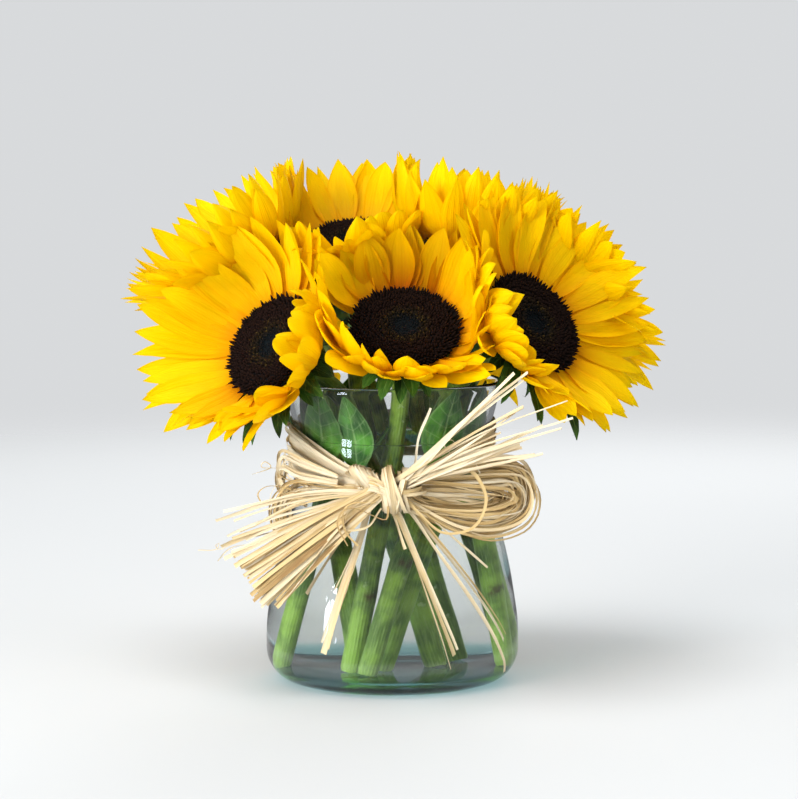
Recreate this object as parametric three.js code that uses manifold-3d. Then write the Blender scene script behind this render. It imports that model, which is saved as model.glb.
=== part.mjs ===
// Sunflowers in a clear glass vase, with a raffia bow tied round its neck.
// Millimetres, +Z up, front towards -Y. The origin is the middle of the vase's foot, where it stands.

import * as THREE from 'three';
import { mergeVertices } from 'three/addons/utils/BufferGeometryUtils.js';
import Module from 'manifold-3d';

const wasm = await Module();
wasm.setup();

const GAP = 0.3; // left between pieces that touch
const FACETS = 32; // round the vase, the water and the raffia band

// The vase: a full belly, a drawn-in neck and a flared mouth.
const VASE_HEIGHT = 172;
const VASE_WALL = 3;
const VASE_FLOOR = 8;
const FOOT_RADIUS = 56;
const HEEL_HEIGHT = 19;
const VASE_SIDE = new THREE.SplineCurve([ // outside radius against height, from the heel to the lip
  new THREE.Vector2(72.4, 19), new THREE.Vector2(72.4, 29), new THREE.Vector2(67.3, 63.4),
  new THREE.Vector2(58, 105), new THREE.Vector2(54.8, 136), new THREE.Vector2(63.5, 172),
]);
const BELLY_RADIUS = VASE_SIDE.getPoint(0).x;
const LIP_BASE = VASE_HEIGHT - 1;
const RING_STEP = 15; // between rings of corners up the side
const WATER_LEVEL = HEEL_HEIGHT + RING_STEP * 8;

// Each flower head: the middle of its disc, the way it faces, the disc's radius, the petals' length,
// and the angle in degrees by which its petals rise from the plane of the disc.
const HEADS = [
  { at: [7, -45, 204], facing: [0.05, -0.64, 0.77], disc: 33, petal: 46, cup: 42 },
  { at: [-66, -40, 194], facing: [-0.6, -0.62, 0.5], disc: 33, petal: 53, cup: 16 },
  { at: [78, -35, 206], facing: [0.6, -0.62, 0.51], disc: 33, petal: 50, cup: 14 },
  { at: [-24, 28, 248], facing: [-0.1, -0.37, 0.92], disc: 29, petal: 48, cup: 34 },
  { at: [42, 30, 250], facing: [0.12, 0.1, 0.99], disc: 29, petal: 48, cup: 50 },
  { at: [-84, 28, 238], facing: [-0.66, 0.05, 0.75], disc: 31, petal: 48, cup: 50 },
  { at: [95, 50, 220], facing: [0.7, 0.3, 0.65], disc: 31, petal: 50, cup: 26 },
  { at: [-50, 84, 209], facing: [-0.35, 0.72, 0.6], disc: 32, petal: 46, cup: 16 },
  { at: [32, 90, 207], facing: [0.25, 0.78, 0.57], disc: 32, petal: 46, cup: 16 },
];
const HEAD_DEPTH = 24; // from the disc back to the top of the stem
const DISC_BACK = -1.5; // heights along the way a head faces, from the middle of its disc
const COLLAR_TOP = DISC_BACK - GAP;
const COLLAR_BACK = -4.2;
const CALYX_TOP = COLLAR_BACK - GAP;
const PETALS_PER_HEAD = 12;
const PETAL_HALF_WIDTH = 9.5;
const PETAL_HALF_THICKNESS = 1.1;
const BRACTS_PER_HEAD = 7;
const BRACT_HALF_THICKNESS = 0.8;
const HEAD_SPACE = 1.2; // each head keeps this far from the plane half-way to its neighbour

// Each stem is straight from its cut end on the vase's floor to the neck, then bends to its head.
// All lean the same way round, as in a spiral-tied bunch, so none crosses another.
const STEM_RADIUS = 5.3;
const NECK_LEVEL = 150;
const STEM_BEND = 0.38; // how far each end's direction holds in the bend, as a share of its length
const STEM_STEPS = 13;
const STEMS = [
  { foot: [-20, -16], neck: [3, -32] },
  { foot: [-50, 6], neck: [-24, -22] },
  { foot: [-14, -32], neck: [26, -22] },
  { foot: [20, 4], neck: [-17, 12] },
  { foot: [50, 6], neck: [27, 14] },
  { foot: [-12, 16], neck: [-33, -2] },
  { foot: [-7, -12], neck: [36, -8] },
  { foot: [26, 22], neck: [-8, 31] },
  { foot: [47, 23], neck: [14, 32] },
];

// Leaves lie against the inside of the glass, each on a stalk from one stem. Angles in degrees about
// +Z from +X, heights in millimetres.
const LEAVES = [
  { stem: 1, angle: -139, low: 144, high: 169, spread: 15 },
  { stem: 0, angle: -113, low: 143, high: 166, spread: 10 },
  { stem: 2, angle: -58, low: 144, high: 169, spread: 13 },
  { stem: 6, angle: -24, low: 143, high: 169, spread: 16 },
  { stem: 8, angle: 62, low: 144, high: 168, spread: 16 },
  { stem: 7, angle: 118, low: 144, high: 168, spread: 16 },
  { stem: 4, angle: 17, low: 144, high: 168, spread: 14 },
  { stem: 5, angle: 164, low: 144, high: 168, spread: 14 },
];
const LEAF_CLEARANCE = 0.8; // from the glass
const LEAF_THICKNESS = 1.4;
const STALK_RADIUS = 1.5;
const STALK_RISE = 5; // from the leaf's base up to where its stalk joins the stem

// Raffia: a band round the neck, a knot in front, two loops, two fans of tails and hanging strands.
// A loop runs over and then under, as shares of the way from its start to its end (x, y) and heights.
const BAND_THICKNESS = 4;
const BAND_HALF_HEIGHT = 12;
const BAND_FRONT_HALF_HEIGHT = 7;
const BAND_BACK_LEVEL = 136;
const KNOT_LEVEL = 118;
const KNOT_DEPTH = 68; // how far the knot's middle stands in front of the vase's axis
const LOOPS = {
  raffia_loop_right: {
    start: [5, -66.5], end: [77, -45], halfThickness: 2.2, halfDepth: 3.5,
    over: [[0.03, 116], [0.3, 125], [0.62, 130], [0.9, 124], [1, 112]],
    under: [[0.88, 99], [0.66, 92], [0.35, 101], [0.08, 111]],
  },
  raffia_loop_left: {
    start: [-17, -64.8], end: [-67, -40], halfThickness: 1.8, halfDepth: 2.6,
    over: [[0.05, 114], [0.4, 117], [0.75, 116], [0.97, 108], [1, 97]],
    under: [[0.85, 86], [0.6, 88], [0.3, 101], [0.08, 109]],
  },
};
const FANS = {
  raffia_tails_left: {
    from: [-8, -73, 117], halfWidth: 3.6, halfThickness: 0.9,
    ends: [[-95, -62, 103], [-92, -65, 88], [-85, -66, 76], [-77, -66, 63], [-68, -68, 53]],
  },
  raffia_tails_right: {
    from: [4, -74, 120], halfWidth: 1.8, halfThickness: 0.9,
    ends: [
      [73, -113, 189], [80, -112, 191], [94, -106, 168], [95, -98, 158], [92, -90, 150], [80, -84, 139],
    ],
  },
};
const STRAND_RADIUS = 1.2;
const STRANDS = {
  raffia_strand_left_1: { from: -97, to: -121, low: 24 },
  raffia_strand_left_2: { from: -101, to: -132, low: 58 },
  raffia_strand_right_1: { from: -93, to: -62, low: 22 },
  raffia_strand_right_2: { from: -90, to: -29, low: 24 },
};

const finish = (color, roughness, more = {}) => new THREE.MeshStandardMaterial({ color, roughness, ...more });
const GLASS = finish('#c3d2d2', 0.03, { transparent: true, opacity: 0.35 });
const WATER = finish('#bccdcc', 0.02, { transparent: true, opacity: 0.3 });
const STEM = finish('#6b8b34', 0.7);
const CALYX = finish('#35511f', 0.75);
const LEAF = finish('#3c5f24', 0.65);
const DISC = finish('#1d0f0b', 0.9);
const PETAL = finish('#f7c602', 0.55);
const RAFFIA = finish('#d9c494', 0.8);

const UP = new THREE.Vector3(0, 0, 1);
const radians = THREE.MathUtils.degToRad;
const vector = (xyz) => new THREE.Vector3(...xyz);

// ---------- Solids ----------

// Merges a closed geometry's corners and gives it as a solid whose faces point outwards.
function solid(geometry) {
  geometry.deleteAttribute('normal');
  geometry.deleteAttribute('uv');
  const merged = mergeVertices(geometry, 1e-4);
  const corners = merged.attributes.position;
  const faces = [];
  let volume = 0;
  for (let i = 0; i < merged.index.count; i += 3) {
    const face = [0, 1, 2].map((k) => merged.index.getX(i + k));
    if (new Set(face).size < 3) continue;
    const [a, b, c] = face.map((k) => new THREE.Vector3().fromBufferAttribute(corners, k));
    volume += a.dot(b.cross(c));
    faces.push(face);
  }
  if (volume < 0) faces.forEach((face) => face.reverse());
  return new wasm.Manifold(new wasm.Mesh({
    numProp: 3,
    vertProperties: new Float32Array(corners.array),
    triVerts: new Uint32Array(faces.flat()),
  }));
}

function surface(body) {
  const { numProp, vertProperties, triVerts } = body.getMesh();
  const corners = new Float32Array((vertProperties.length / numProp) * 3);
  for (let i = 0; i < corners.length; i++) {
    corners[i] = vertProperties[Math.floor(i / 3) * numProp + (i % 3)];
  }
  const geometry = new THREE.BufferGeometry();
  geometry.setAttribute('position', new THREE.BufferAttribute(corners, 3));
  geometry.setIndex(new THREE.BufferAttribute(new Uint32Array(triVerts), 1));
  geometry.computeVertexNormals();
  return geometry;
}

// A skin over rings of points, closed at both ends, or joined end to start.
function loft(rings, endless = false) {
  const sides = rings[0].length;
  const faces = [];
  const spans = endless ? rings.length : rings.length - 1;
  for (let i = 0; i < spans; i++) {
    const next = (i + 1) % rings.length;
    for (let k = 0; k < sides; k++) {
      const [a, b] = [i * sides + k, i * sides + ((k + 1) % sides)];
      const [c, d] = [next * sides + k, next * sides + ((k + 1) % sides)];
      faces.push(a, b, d, a, d, c);
    }
  }
  if (!endless) {
    const last = (rings.length - 1) * sides;
    for (let k = 1; k < sides - 1; k++) faces.push(0, k + 1, k, last, last + k, last + k + 1);
  }
  const geometry = new THREE.BufferGeometry().setFromPoints(rings.flat());
  geometry.setIndex(faces);
  return solid(geometry);
}

function turned(profile, facets = FACETS) {
  return solid(new THREE.LatheGeometry(profile, facets).rotateX(Math.PI / 2));
}

function turnedThrough(outline, facets) {
  return turned(outline.map(([x, y]) => new THREE.Vector2(x, y)), facets);
}

function tube(path, radius, sides, steps) {
  const circle = new THREE.EllipseCurve(0, 0, radius, radius).getPoints(sides);
  const section = new THREE.Shape(circle.slice(0, sides));
  return solid(new THREE.ExtrudeGeometry(section, { extrudePath: path, steps, bevelEnabled: false }));
}

// A strip's section at a place: an oblong, so far to either side along two directions.
function oblong(place, across, half, normal, halfThickness) {
  return [[-1, -1], [1, -1], [1, 1], [-1, 1]].map(([side, out]) => place.clone()
    .addScaledVector(across, side * half).addScaledVector(normal, out * halfThickness));
}

// A petal's or bract's section: a flat diamond.
function diamond(place, across, half, normal, halfThickness) {
  return [[-1, 0], [0, -1], [1, 0], [0, 1]].map(([side, out]) => place.clone()
    .addScaledVector(across, side * half).addScaledVector(normal, out * halfThickness));
}

function ellipsoid(at, halfSizes) {
  return solid(new THREE.SphereGeometry(1, 14, 8).scale(...halfSizes).translate(...at));
}

// ---------- Vase and water ----------

// The rings of corners up the side, from the heel to just below the lip, as radius against height.
const SIDE_RINGS = [];
for (let z = HEEL_HEIGHT; z < LIP_BASE + RING_STEP; z += RING_STEP) {
  const height = Math.min(z, LIP_BASE);
  const error = (point) => Math.abs(point.y - height);
  const nearest = VASE_SIDE.getPoints(400).reduce((a, b) => (error(b) < error(a) ? b : a));
  SIDE_RINGS.push(new THREE.Vector2(nearest.x, height));
}

// The outside radius of the faceted glass.
function vaseRadius(z) {
  const above = Math.max(1, SIDE_RINGS.findIndex((ring) => ring.y >= z));
  const [low, high] = z > LIP_BASE ? SIDE_RINGS.slice(-2) : [SIDE_RINGS[above - 1], SIDE_RINGS[above]];
  return THREE.MathUtils.mapLinear(z, low.y, high.y, low.x, high.x);
}

// The outline from the axis at the floor out round the heel and up the side, at a depth inside the glass.
function bowl(inset, floor, top) {
  const heelSteps = 4;
  const [reach, drop] = [BELLY_RADIUS - inset - FOOT_RADIUS, HEEL_HEIGHT - floor];
  const outline = [new THREE.Vector2(0, floor)];
  for (let i = 0; i <= heelSteps; i++) {
    const turn = (i / heelSteps) * (Math.PI / 2);
    outline.push(new THREE.Vector2(FOOT_RADIUS + reach * Math.sin(turn), HEEL_HEIGHT - drop * Math.cos(turn)));
  }
  const side = SIDE_RINGS.slice(1).filter((ring) => ring.y <= top);
  return [...outline, ...side.map((ring) => new THREE.Vector2(ring.x - inset, ring.y))];
}

function vase() {
  const lip = new THREE.Vector2(vaseRadius(VASE_HEIGHT) - VASE_WALL / 2, VASE_HEIGHT);
  return turned([...bowl(0, 0, LIP_BASE), lip, ...bowl(VASE_WALL, VASE_FLOOR, LIP_BASE).reverse()]);
}

// The water, with a hole round the straight part of each stem.
function water() {
  const top = new THREE.Vector2(0, WATER_LEVEL);
  const outline = [...bowl(VASE_WALL + GAP, VASE_FLOOR + GAP, WATER_LEVEL), top];
  return STEMS.reduce((body, _, i) => {
    const { foot, neck } = stemEnds(i);
    const through = new THREE.LineCurve3(foot, foot.clone().lerp(neck, 1.05));
    return body.subtract(tube(through, holeRadius(6), 6, 1));
  }, turned(outline));
}

// ---------- Flowers ----------

function headTurn(head) {
  return new THREE.Quaternion().setFromUnitVectors(UP, vector(head.facing).normalize());
}

// The ends of a stem's straight part.
function stemEnds(i) {
  const foot = new THREE.Vector3(...STEMS[i].foot, VASE_FLOOR - STEM_RADIUS);
  const neck = new THREE.Vector3(...STEMS[i].neck, NECK_LEVEL);
  return { foot, neck };
}

function stemPath(i) {
  const axis = vector(HEADS[i].facing).normalize();
  const top = vector(HEADS[i].at).addScaledVector(axis, -HEAD_DEPTH - GAP);
  const { foot, neck } = stemEnds(i);
  const reach = neck.distanceTo(top) * STEM_BEND;
  const leaving = neck.clone().addScaledVector(neck.clone().sub(foot).normalize(), reach);
  const path = new THREE.CurvePath();
  path.add(new THREE.LineCurve3(foot, neck));
  path.add(new THREE.CubicBezierCurve3(neck, leaving, top.clone().addScaledVector(axis, -reach), top));
  return path;
}

// The corner radius of a hole with flat sides that clears a stem.
function holeRadius(sides) {
  return (STEM_RADIUS + GAP) / Math.cos(Math.PI / sides);
}

// A stem, cut level just clear of the vase's floor.
function stem(i) {
  return tube(stemPath(i), STEM_RADIUS, 8, STEM_STEPS).trimByPlane([0, 0, 1], VASE_FLOOR + GAP);
}

function disc(head) {
  const r = head.disc;
  return turnedThrough([
    [0, DISC_BACK], [r - 1, DISC_BACK], [r, 0.5], [r * 0.8, 3.6], [r * 0.35, 4], [0, 2.4],
  ], 14);
}

// True where a point, in the head's own frame, stays on the head's side of every plane between heads.
function ownSpace(head, point) {
  const place = point.clone().applyQuaternion(headTurn(head));
  return HEADS.every((other) => {
    if (other === head) return true;
    const across = vector(other.at).sub(vector(head.at));
    return place.dot(across) <= (across.length() / 2 - HEAD_SPACE) * across.length();
  });
}

// Sections of one petal, which rises by lift degrees.
function petalSections(head, azimuth, lift, length) {
  const out = new THREE.Vector3(Math.cos(azimuth), Math.sin(azimuth), 0);
  const across = new THREE.Vector3(-out.y, out.x, 0);
  const stations = [[0, 0.45, 0], [0.35, 1, 0.7], [0.72, 0.8, 1], [1, 0.12, 1.1]];
  const place = out.clone().multiplyScalar(head.disc + 1).setZ((COLLAR_TOP + COLLAR_BACK) / 2);
  let before = 0;
  return stations.map(([along, width, bend]) => {
    const angle = radians(lift * bend);
    const way = out.clone().multiplyScalar(Math.cos(angle)).addScaledVector(UP, Math.sin(angle));
    place.addScaledVector(way, (along - before) * length);
    before = along;
    const normal = way.clone().cross(across).normalize();
    return diamond(place, across, width * PETAL_HALF_WIDTH, normal, PETAL_HALF_THICKNESS);
  });
}

// Raises a petal, then shortens it, until it keeps to its own head's space.
function fittedPetal(head, azimuth) {
  for (let length = head.petal; length > head.petal / 2; length *= 0.88) {
    for (let lift = head.cup; lift <= 112; lift += 4) {
      const sections = petalSections(head, azimuth, lift, length);
      if (sections.flat().every((point) => ownSpace(head, point))) return loft(sections);
    }
  }
  return null;
}

function petals(head) {
  const [inner, outer] = [head.disc - 8, head.disc + 1.6];
  let body = turnedThrough([
    [inner, COLLAR_BACK], [outer, COLLAR_BACK], [outer, COLLAR_TOP], [inner, COLLAR_TOP], [inner, COLLAR_BACK],
  ], 12);
  for (let i = 0; i < PETALS_PER_HEAD; i++) {
    const petal = fittedPetal(head, (i / PETALS_PER_HEAD) * Math.PI * 2);
    if (petal) body = body.add(petal);
  }
  return body;
}

// The green cup behind the petals, with pointed bracts that spread from it and hang a little back.
function calyx(head) {
  let body = turnedThrough([
    [0, -HEAD_DEPTH], [7, -HEAD_DEPTH], [12, -17], [20, -11], [head.disc - 4, CALYX_TOP], [0, CALYX_TOP],
  ], 10);
  for (let i = 0; i < BRACTS_PER_HEAD; i++) {
    const azimuth = ((i + 0.5) / BRACTS_PER_HEAD) * Math.PI * 2;
    const out = new THREE.Vector3(Math.cos(azimuth), Math.sin(azimuth), 0);
    const across = new THREE.Vector3(-out.y, out.x, 0);
    const stations = [[head.disc - 10, -8, 5], [head.disc + 2, -8.5, 5], [head.disc + 12, -13, 0.6]];
    const sections = stations.map(([reach, height, half]) => {
      const place = out.clone().multiplyScalar(reach).setZ(height);
      return diamond(place, across, half, UP, BRACT_HALF_THICKNESS);
    });
    if (sections.flat().every((point) => ownSpace(head, point))) body = body.add(loft(sections));
  }
  return body;
}

// ---------- Leaves ----------

function onCylinder(radius, degrees, z) {
  return new THREE.Vector3(radius * Math.cos(radians(degrees)), radius * Math.sin(radians(degrees)), z);
}

function leaf({ stem: carrier, angle, low, high, spread }) {
  const sections = [[0, 0.15], [0.3, 0.85], [0.6, 1], [0.85, 0.5], [1, 0.06]].map(([along, width]) => {
    const z = THREE.MathUtils.lerp(low, high, along);
    const outer = vaseRadius(z) - VASE_WALL - LEAF_CLEARANCE;
    const half = spread * width;
    return [
      onCylinder(outer - LEAF_THICKNESS, angle, z), onCylinder(outer - 0.3, angle - half, z),
      onCylinder(outer, angle, z), onCylinder(outer - 0.3, angle + half, z),
    ];
  });
  const blade = vaseRadius(low) - VASE_WALL - LEAF_CLEARANCE - LEAF_THICKNESS / 2;
  const base = onCylinder(blade, angle, low + 1);
  const error = (point) => Math.abs(point.z - low - STALK_RISE);
  const grip = stemPath(carrier).getPoints(24).reduce((a, b) => (error(b) < error(a) ? b : a));
  const bend = base.clone().lerp(grip, 0.4).setZ(base.z);
  const stalk = tube(new THREE.QuadraticBezierCurve3(base, bend, grip), STALK_RADIUS, 5, 3);
  return loft(sections).add(stalk).subtract(tube(stemPath(carrier), holeRadius(8), 8, STEM_STEPS));
}

// ---------- Raffia ----------

// The band dips and narrows at the front, where it goes into the knot. With a margin it is made larger,
// to cut the pieces that seat on it.
function band(margin = 0) {
  const rings = [];
  for (let i = 0; i < FACETS; i++) {
    const degrees = (i / FACETS) * 360;
    const front = ((1 - Math.sin(radians(degrees))) / 2) ** 6;
    const middle = THREE.MathUtils.lerp(BAND_BACK_LEVEL, KNOT_LEVEL, front);
    const half = THREE.MathUtils.lerp(BAND_HALF_HEIGHT, BAND_FRONT_HALF_HEIGHT, front) + margin;
    const inner = [-half, 0, half].map((rise) => [GAP - margin * 2, rise]);
    const outer = [half * 0.6, -half * 0.6].map((rise) => [GAP + BAND_THICKNESS + margin, rise]);
    rings.push([...inner, ...outer].map(([out, rise]) => (
      onCylinder(vaseRadius(middle + rise) + out, degrees, middle + rise)
    )));
  }
  return loft(rings, true);
}

// The knot: a lobe of twisted raffia with one turn wrapped over it.
function knot(margin = 0) {
  const lobe = ellipsoid([-13, -KNOT_DEPTH, KNOT_LEVEL + 3], [11, 7, 8].map((half) => half + margin));
  const wrap = ellipsoid([1, -KNOT_DEPTH - 1, KNOT_LEVEL], [7.5, 8.5, 13].map((half) => half + margin));
  const body = lobe.add(wrap);
  return margin > 0 ? body : body.subtract(band(GAP));
}

function loop({ start, end, halfThickness, halfDepth, over, under }) {
  const [near, far] = [new THREE.Vector2(...start), new THREE.Vector2(...end)];
  const route = new THREE.CatmullRomCurve3([...over, ...under].map(([along, z]) => {
    const place = near.clone().lerp(far, along);
    return new THREE.Vector3(place.x, place.y, z);
  }), true);
  const across = new THREE.Vector3(far.y - near.y, near.x - far.x, 0).normalize();
  const steps = 22;
  const rings = [];
  for (let i = 0; i < steps; i++) {
    const place = route.getPointAt(i / steps);
    const normal = route.getTangentAt(i / steps).cross(across).normalize();
    rings.push(oblong(place, across, halfDepth, normal, halfThickness));
  }
  return loft(rings, true).subtract(knot(GAP)).subtract(band(GAP));
}

// Tails that leave the knot side by side and spread; each is a flat strip that comes to a blunt tip.
function fan({ from, ends, halfWidth, halfThickness }) {
  const root = vector(from);
  const strips = ends.map((end) => {
    const way = vector(end).sub(root);
    const across = way.clone().cross(new THREE.Vector3(0, 1, 0)).normalize();
    const normal = way.clone().cross(across).normalize();
    return loft([[0, 0.8], [0.5, 1], [1, 0.5]].map(([along, width]) => {
      const sag = new THREE.Vector3(0, 0, 4 * Math.sin(along * Math.PI));
      const place = root.clone().addScaledVector(way, along).add(sag);
      return oblong(place, across, halfWidth * width, normal, halfThickness);
    }));
  });
  return wasm.Manifold.union(strips).subtract(knot(GAP));
}

// A strand that hangs from the knot and lies on the glass.
function strand({ from, to, low }) {
  const [high, steps] = [KNOT_LEVEL - 6, 12];
  const points = [];
  for (let i = 0; i <= steps; i++) {
    const along = i / steps;
    const z = THREE.MathUtils.lerp(high, low, along);
    const rest = vaseRadius(z) + STRAND_RADIUS + GAP;
    const lift = (KNOT_DEPTH - 2 - rest) * Math.max(0, 1 - along * 4) ** 2;
    points.push(onCylinder(rest + lift, THREE.MathUtils.lerp(from, to, along ** 0.8), z));
  }
  return tube(new THREE.CatmullRomCurve3(points), STRAND_RADIUS, 5, 14).subtract(knot(GAP)).subtract(band(GAP));
}

// ---------- The model ----------

const model = new THREE.Group();

function addPiece(name, body, material, parent = model) {
  const mesh = new THREE.Mesh(surface(body), material);
  mesh.name = name;
  parent.add(mesh);
}

addPiece('vase', vase(), GLASS);
addPiece('water', water(), WATER);

HEADS.forEach((head, i) => {
  const holder = new THREE.Group();
  holder.position.set(...head.at);
  holder.quaternion.copy(headTurn(head));
  model.add(holder);
  addPiece(`stem_${i + 1}`, stem(i), STEM);
  addPiece(`calyx_${i + 1}`, calyx(head), CALYX, holder);
  addPiece(`petals_${i + 1}`, petals(head), PETAL, holder);
  addPiece(`disc_${i + 1}`, disc(head), DISC, holder);
});

LEAVES.forEach((shape, i) => addPiece(`leaf_${i + 1}`, leaf(shape), LEAF));

addPiece('raffia_band', band(), RAFFIA);
addPiece('raffia_knot', knot(), RAFFIA);
Object.entries(LOOPS).forEach(([name, shape]) => addPiece(name, loop(shape), RAFFIA));
Object.entries(FANS).forEach(([name, shape]) => addPiece(name, fan(shape), RAFFIA));
Object.entries(STRANDS).forEach(([name, shape]) => addPiece(name, strand(shape), RAFFIA));

export default model;
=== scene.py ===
"""Sunflowers in a clear glass vase tied with a raffia bow: the looks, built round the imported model.

Sizes are in millimetres and angles in degrees until a mesh is made, unless a name says otherwise.
"""
from __future__ import annotations

import logging
import math
from dataclasses import dataclass
from enum import Enum
from functools import cache

import bmesh
import bpy
import numpy as np
from mathutils import Matrix, Vector


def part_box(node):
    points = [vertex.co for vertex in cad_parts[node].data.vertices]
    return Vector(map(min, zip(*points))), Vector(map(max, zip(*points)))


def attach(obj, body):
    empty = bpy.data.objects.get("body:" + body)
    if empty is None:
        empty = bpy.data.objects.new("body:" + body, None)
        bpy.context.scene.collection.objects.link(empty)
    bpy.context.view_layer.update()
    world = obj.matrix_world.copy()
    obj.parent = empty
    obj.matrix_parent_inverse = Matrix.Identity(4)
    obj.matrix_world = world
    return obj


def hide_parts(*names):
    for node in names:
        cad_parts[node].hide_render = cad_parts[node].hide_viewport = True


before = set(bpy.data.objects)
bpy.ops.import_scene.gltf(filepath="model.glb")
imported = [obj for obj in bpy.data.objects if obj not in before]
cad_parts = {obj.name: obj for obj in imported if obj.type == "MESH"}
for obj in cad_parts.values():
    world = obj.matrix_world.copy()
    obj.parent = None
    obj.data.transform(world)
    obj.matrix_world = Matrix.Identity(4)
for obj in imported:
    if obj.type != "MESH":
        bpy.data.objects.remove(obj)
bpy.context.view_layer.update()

log = logging.getLogger("sunflowers")

MM = 0.001
GOLDEN_ANGLE = math.pi * (3.0 - math.sqrt(5.0))
GOLDEN_SHARE = 0.618
Array = np.ndarray
Colour = tuple[float, float, float, float]
Mesh = bpy.types.Mesh
Material = bpy.types.Material


# ---------- Small maths ----------

def tint(code: str) -> Colour:
    """Turn a display colour code into a linear colour.

    Args:
        code: The colour as #rrggbb.

    Returns:
        Red, green and blue as light, and an alpha of 1.
    """
    channels = [int(code[i:i + 2], 16) / 255 for i in (1, 3, 5)]
    light = [c / 12.92 if c <= 0.04045 else ((c + 0.055) / 1.055) ** 2.4 for c in channels]
    return (light[0], light[1], light[2], 1.0)


def unit(vectors: Array) -> Array:
    """Scale vectors, one or one per row, to a length of one."""
    return vectors / np.maximum(np.linalg.norm(vectors, axis=-1, keepdims=True), 1e-9)


def ease(low: float, high: float, values: Array | float) -> Array | float:
    """Rise smoothly from 0 at low to 1 at high."""
    t = np.clip((values - low) / (high - low), 0.0, 1.0)
    return t * t * (3.0 - 2.0 * t)


def swell(values: Array, middle: float, spread: float) -> Array:
    """Rise to 1 at a middle value and fall away on both sides of it."""
    return np.exp(-((values - middle) / spread) ** 2)


def polar(radius: Array | float, degrees: Array | float, height: Array | float) -> Array:
    """Place points by their distance from the vase's axis, their angle round it and their height."""
    turn = np.radians(degrees)
    return np.stack(np.broadcast_arrays(radius * np.cos(turn), radius * np.sin(turn), height), axis=-1)


def walked(points: Array) -> Array:
    """Give how far along a line each of its points is."""
    return np.concatenate([[0], np.cumsum(np.linalg.norm(np.diff(points, axis=0), axis=1))])


def smooth_route(points: Array | list, count: int) -> Array:
    """Run a smooth curve through points.

    Args:
        points: The points that the curve passes, one per row.
        count: How many evenly spaced points to give back.

    Returns:
        Points along a Catmull-Rom curve, ends included.
    """
    p = np.asarray(points, float)
    padded = np.vstack([2 * p[0] - p[1], p, 2 * p[-1] - p[-2]])
    t = np.linspace(0, 1, 12, endpoint=False)[:, None]
    spans = []
    for a, b, c, d in zip(padded, padded[1:], padded[2:], padded[3:]):
        spans.append(0.5 * (2 * b + (c - a) * t + (2 * a - 5 * b + 4 * c - d) * t ** 2
                            + (3 * b - a - 3 * c + d) * t ** 3))
    dense = np.vstack([*spans, p[-1:]])
    reached = walked(dense)
    stops = np.linspace(0, reached[-1], count)
    return np.stack([np.interp(stops, reached, dense[:, k]) for k in range(3)], axis=1)


def plain_corners(node: str) -> Array:
    """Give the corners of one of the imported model's solids, in millimetres, one per row."""
    return np.array([v.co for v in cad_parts[node].data.vertices]) / MM


def stood(name: str, data: bpy.types.ID) -> bpy.types.Object:
    """Stand a mesh, a light or a camera in the scene.

    Args:
        name: The object's name.
        data: What it holds.

    Returns:
        The object.
    """
    thing = bpy.data.objects.new(name, data)
    bpy.context.scene.collection.objects.link(thing)
    return thing


# ---------- Node trees ----------

class Term:
    """A node's socket that maths can be written with, as in 1 - mask * 0.5."""

    def __init__(self, graph: Graph, socket: bpy.types.NodeSocket) -> None:
        """Hold the socket and the graph that new nodes go into."""
        self.graph = graph
        self.socket = socket

    def _maths(self, operation: str, *values: Term | float) -> Term:
        """Add a node that works on this term and others.

        Args:
            operation: The name of the operation, such as MULTIPLY.
            values: What goes into the node's sockets, in order.

        Returns:
            The node's result.
        """
        vector = any(isinstance(v, Term) and v.socket.type == "VECTOR" for v in values)
        kind = "ShaderNodeVectorMath" if vector else "ShaderNodeMath"
        fed = [(v, v, v) if vector and isinstance(v, (int, float)) else v for v in values]
        return self.graph.take(kind, {"operation": operation}, dict(enumerate(fed)))

    def __add__(self, other: Term | float) -> Term:
        """Add."""
        return self._maths("ADD", self, other)

    def __radd__(self, other: float) -> Term:
        """Add, from the right."""
        return self._maths("ADD", other, self)

    def __sub__(self, other: Term | float) -> Term:
        """Subtract."""
        return self._maths("SUBTRACT", self, other)

    def __rsub__(self, other: float) -> Term:
        """Subtract from a number."""
        return self._maths("SUBTRACT", other, self)

    def __mul__(self, other: Term | float) -> Term:
        """Multiply."""
        return self._maths("MULTIPLY", self, other)

    def __rmul__(self, other: float) -> Term:
        """Multiply, from the right."""
        return self._maths("MULTIPLY", other, self)

    def __truediv__(self, other: Term | float) -> Term:
        """Divide."""
        return self._maths("DIVIDE", self, other)

    def __rtruediv__(self, other: float) -> Term:
        """Divide a number by this."""
        return self._maths("DIVIDE", other, self)

    def __pow__(self, other: float) -> Term:
        """Raise to a power."""
        return self._maths("POWER", self, other)

    def sine(self) -> Term:
        """Give the sine of an angle in radians."""
        return self._maths("SINE", self)

    def cosine(self) -> Term:
        """Give the cosine of an angle in radians."""
        return self._maths("COSINE", self)

    def size(self) -> Term:
        """Give the value without its sign."""
        return self._maths("ABSOLUTE", self)

    def between(self, low: float, high: float) -> Term:
        """Rise smoothly from 0 at low to 1 at high."""
        return self.graph.take("ShaderNodeMapRange", {"interpolation_type": "SMOOTHSTEP"},
                               {"Value": self, "From Min": low, "From Max": high})


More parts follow.
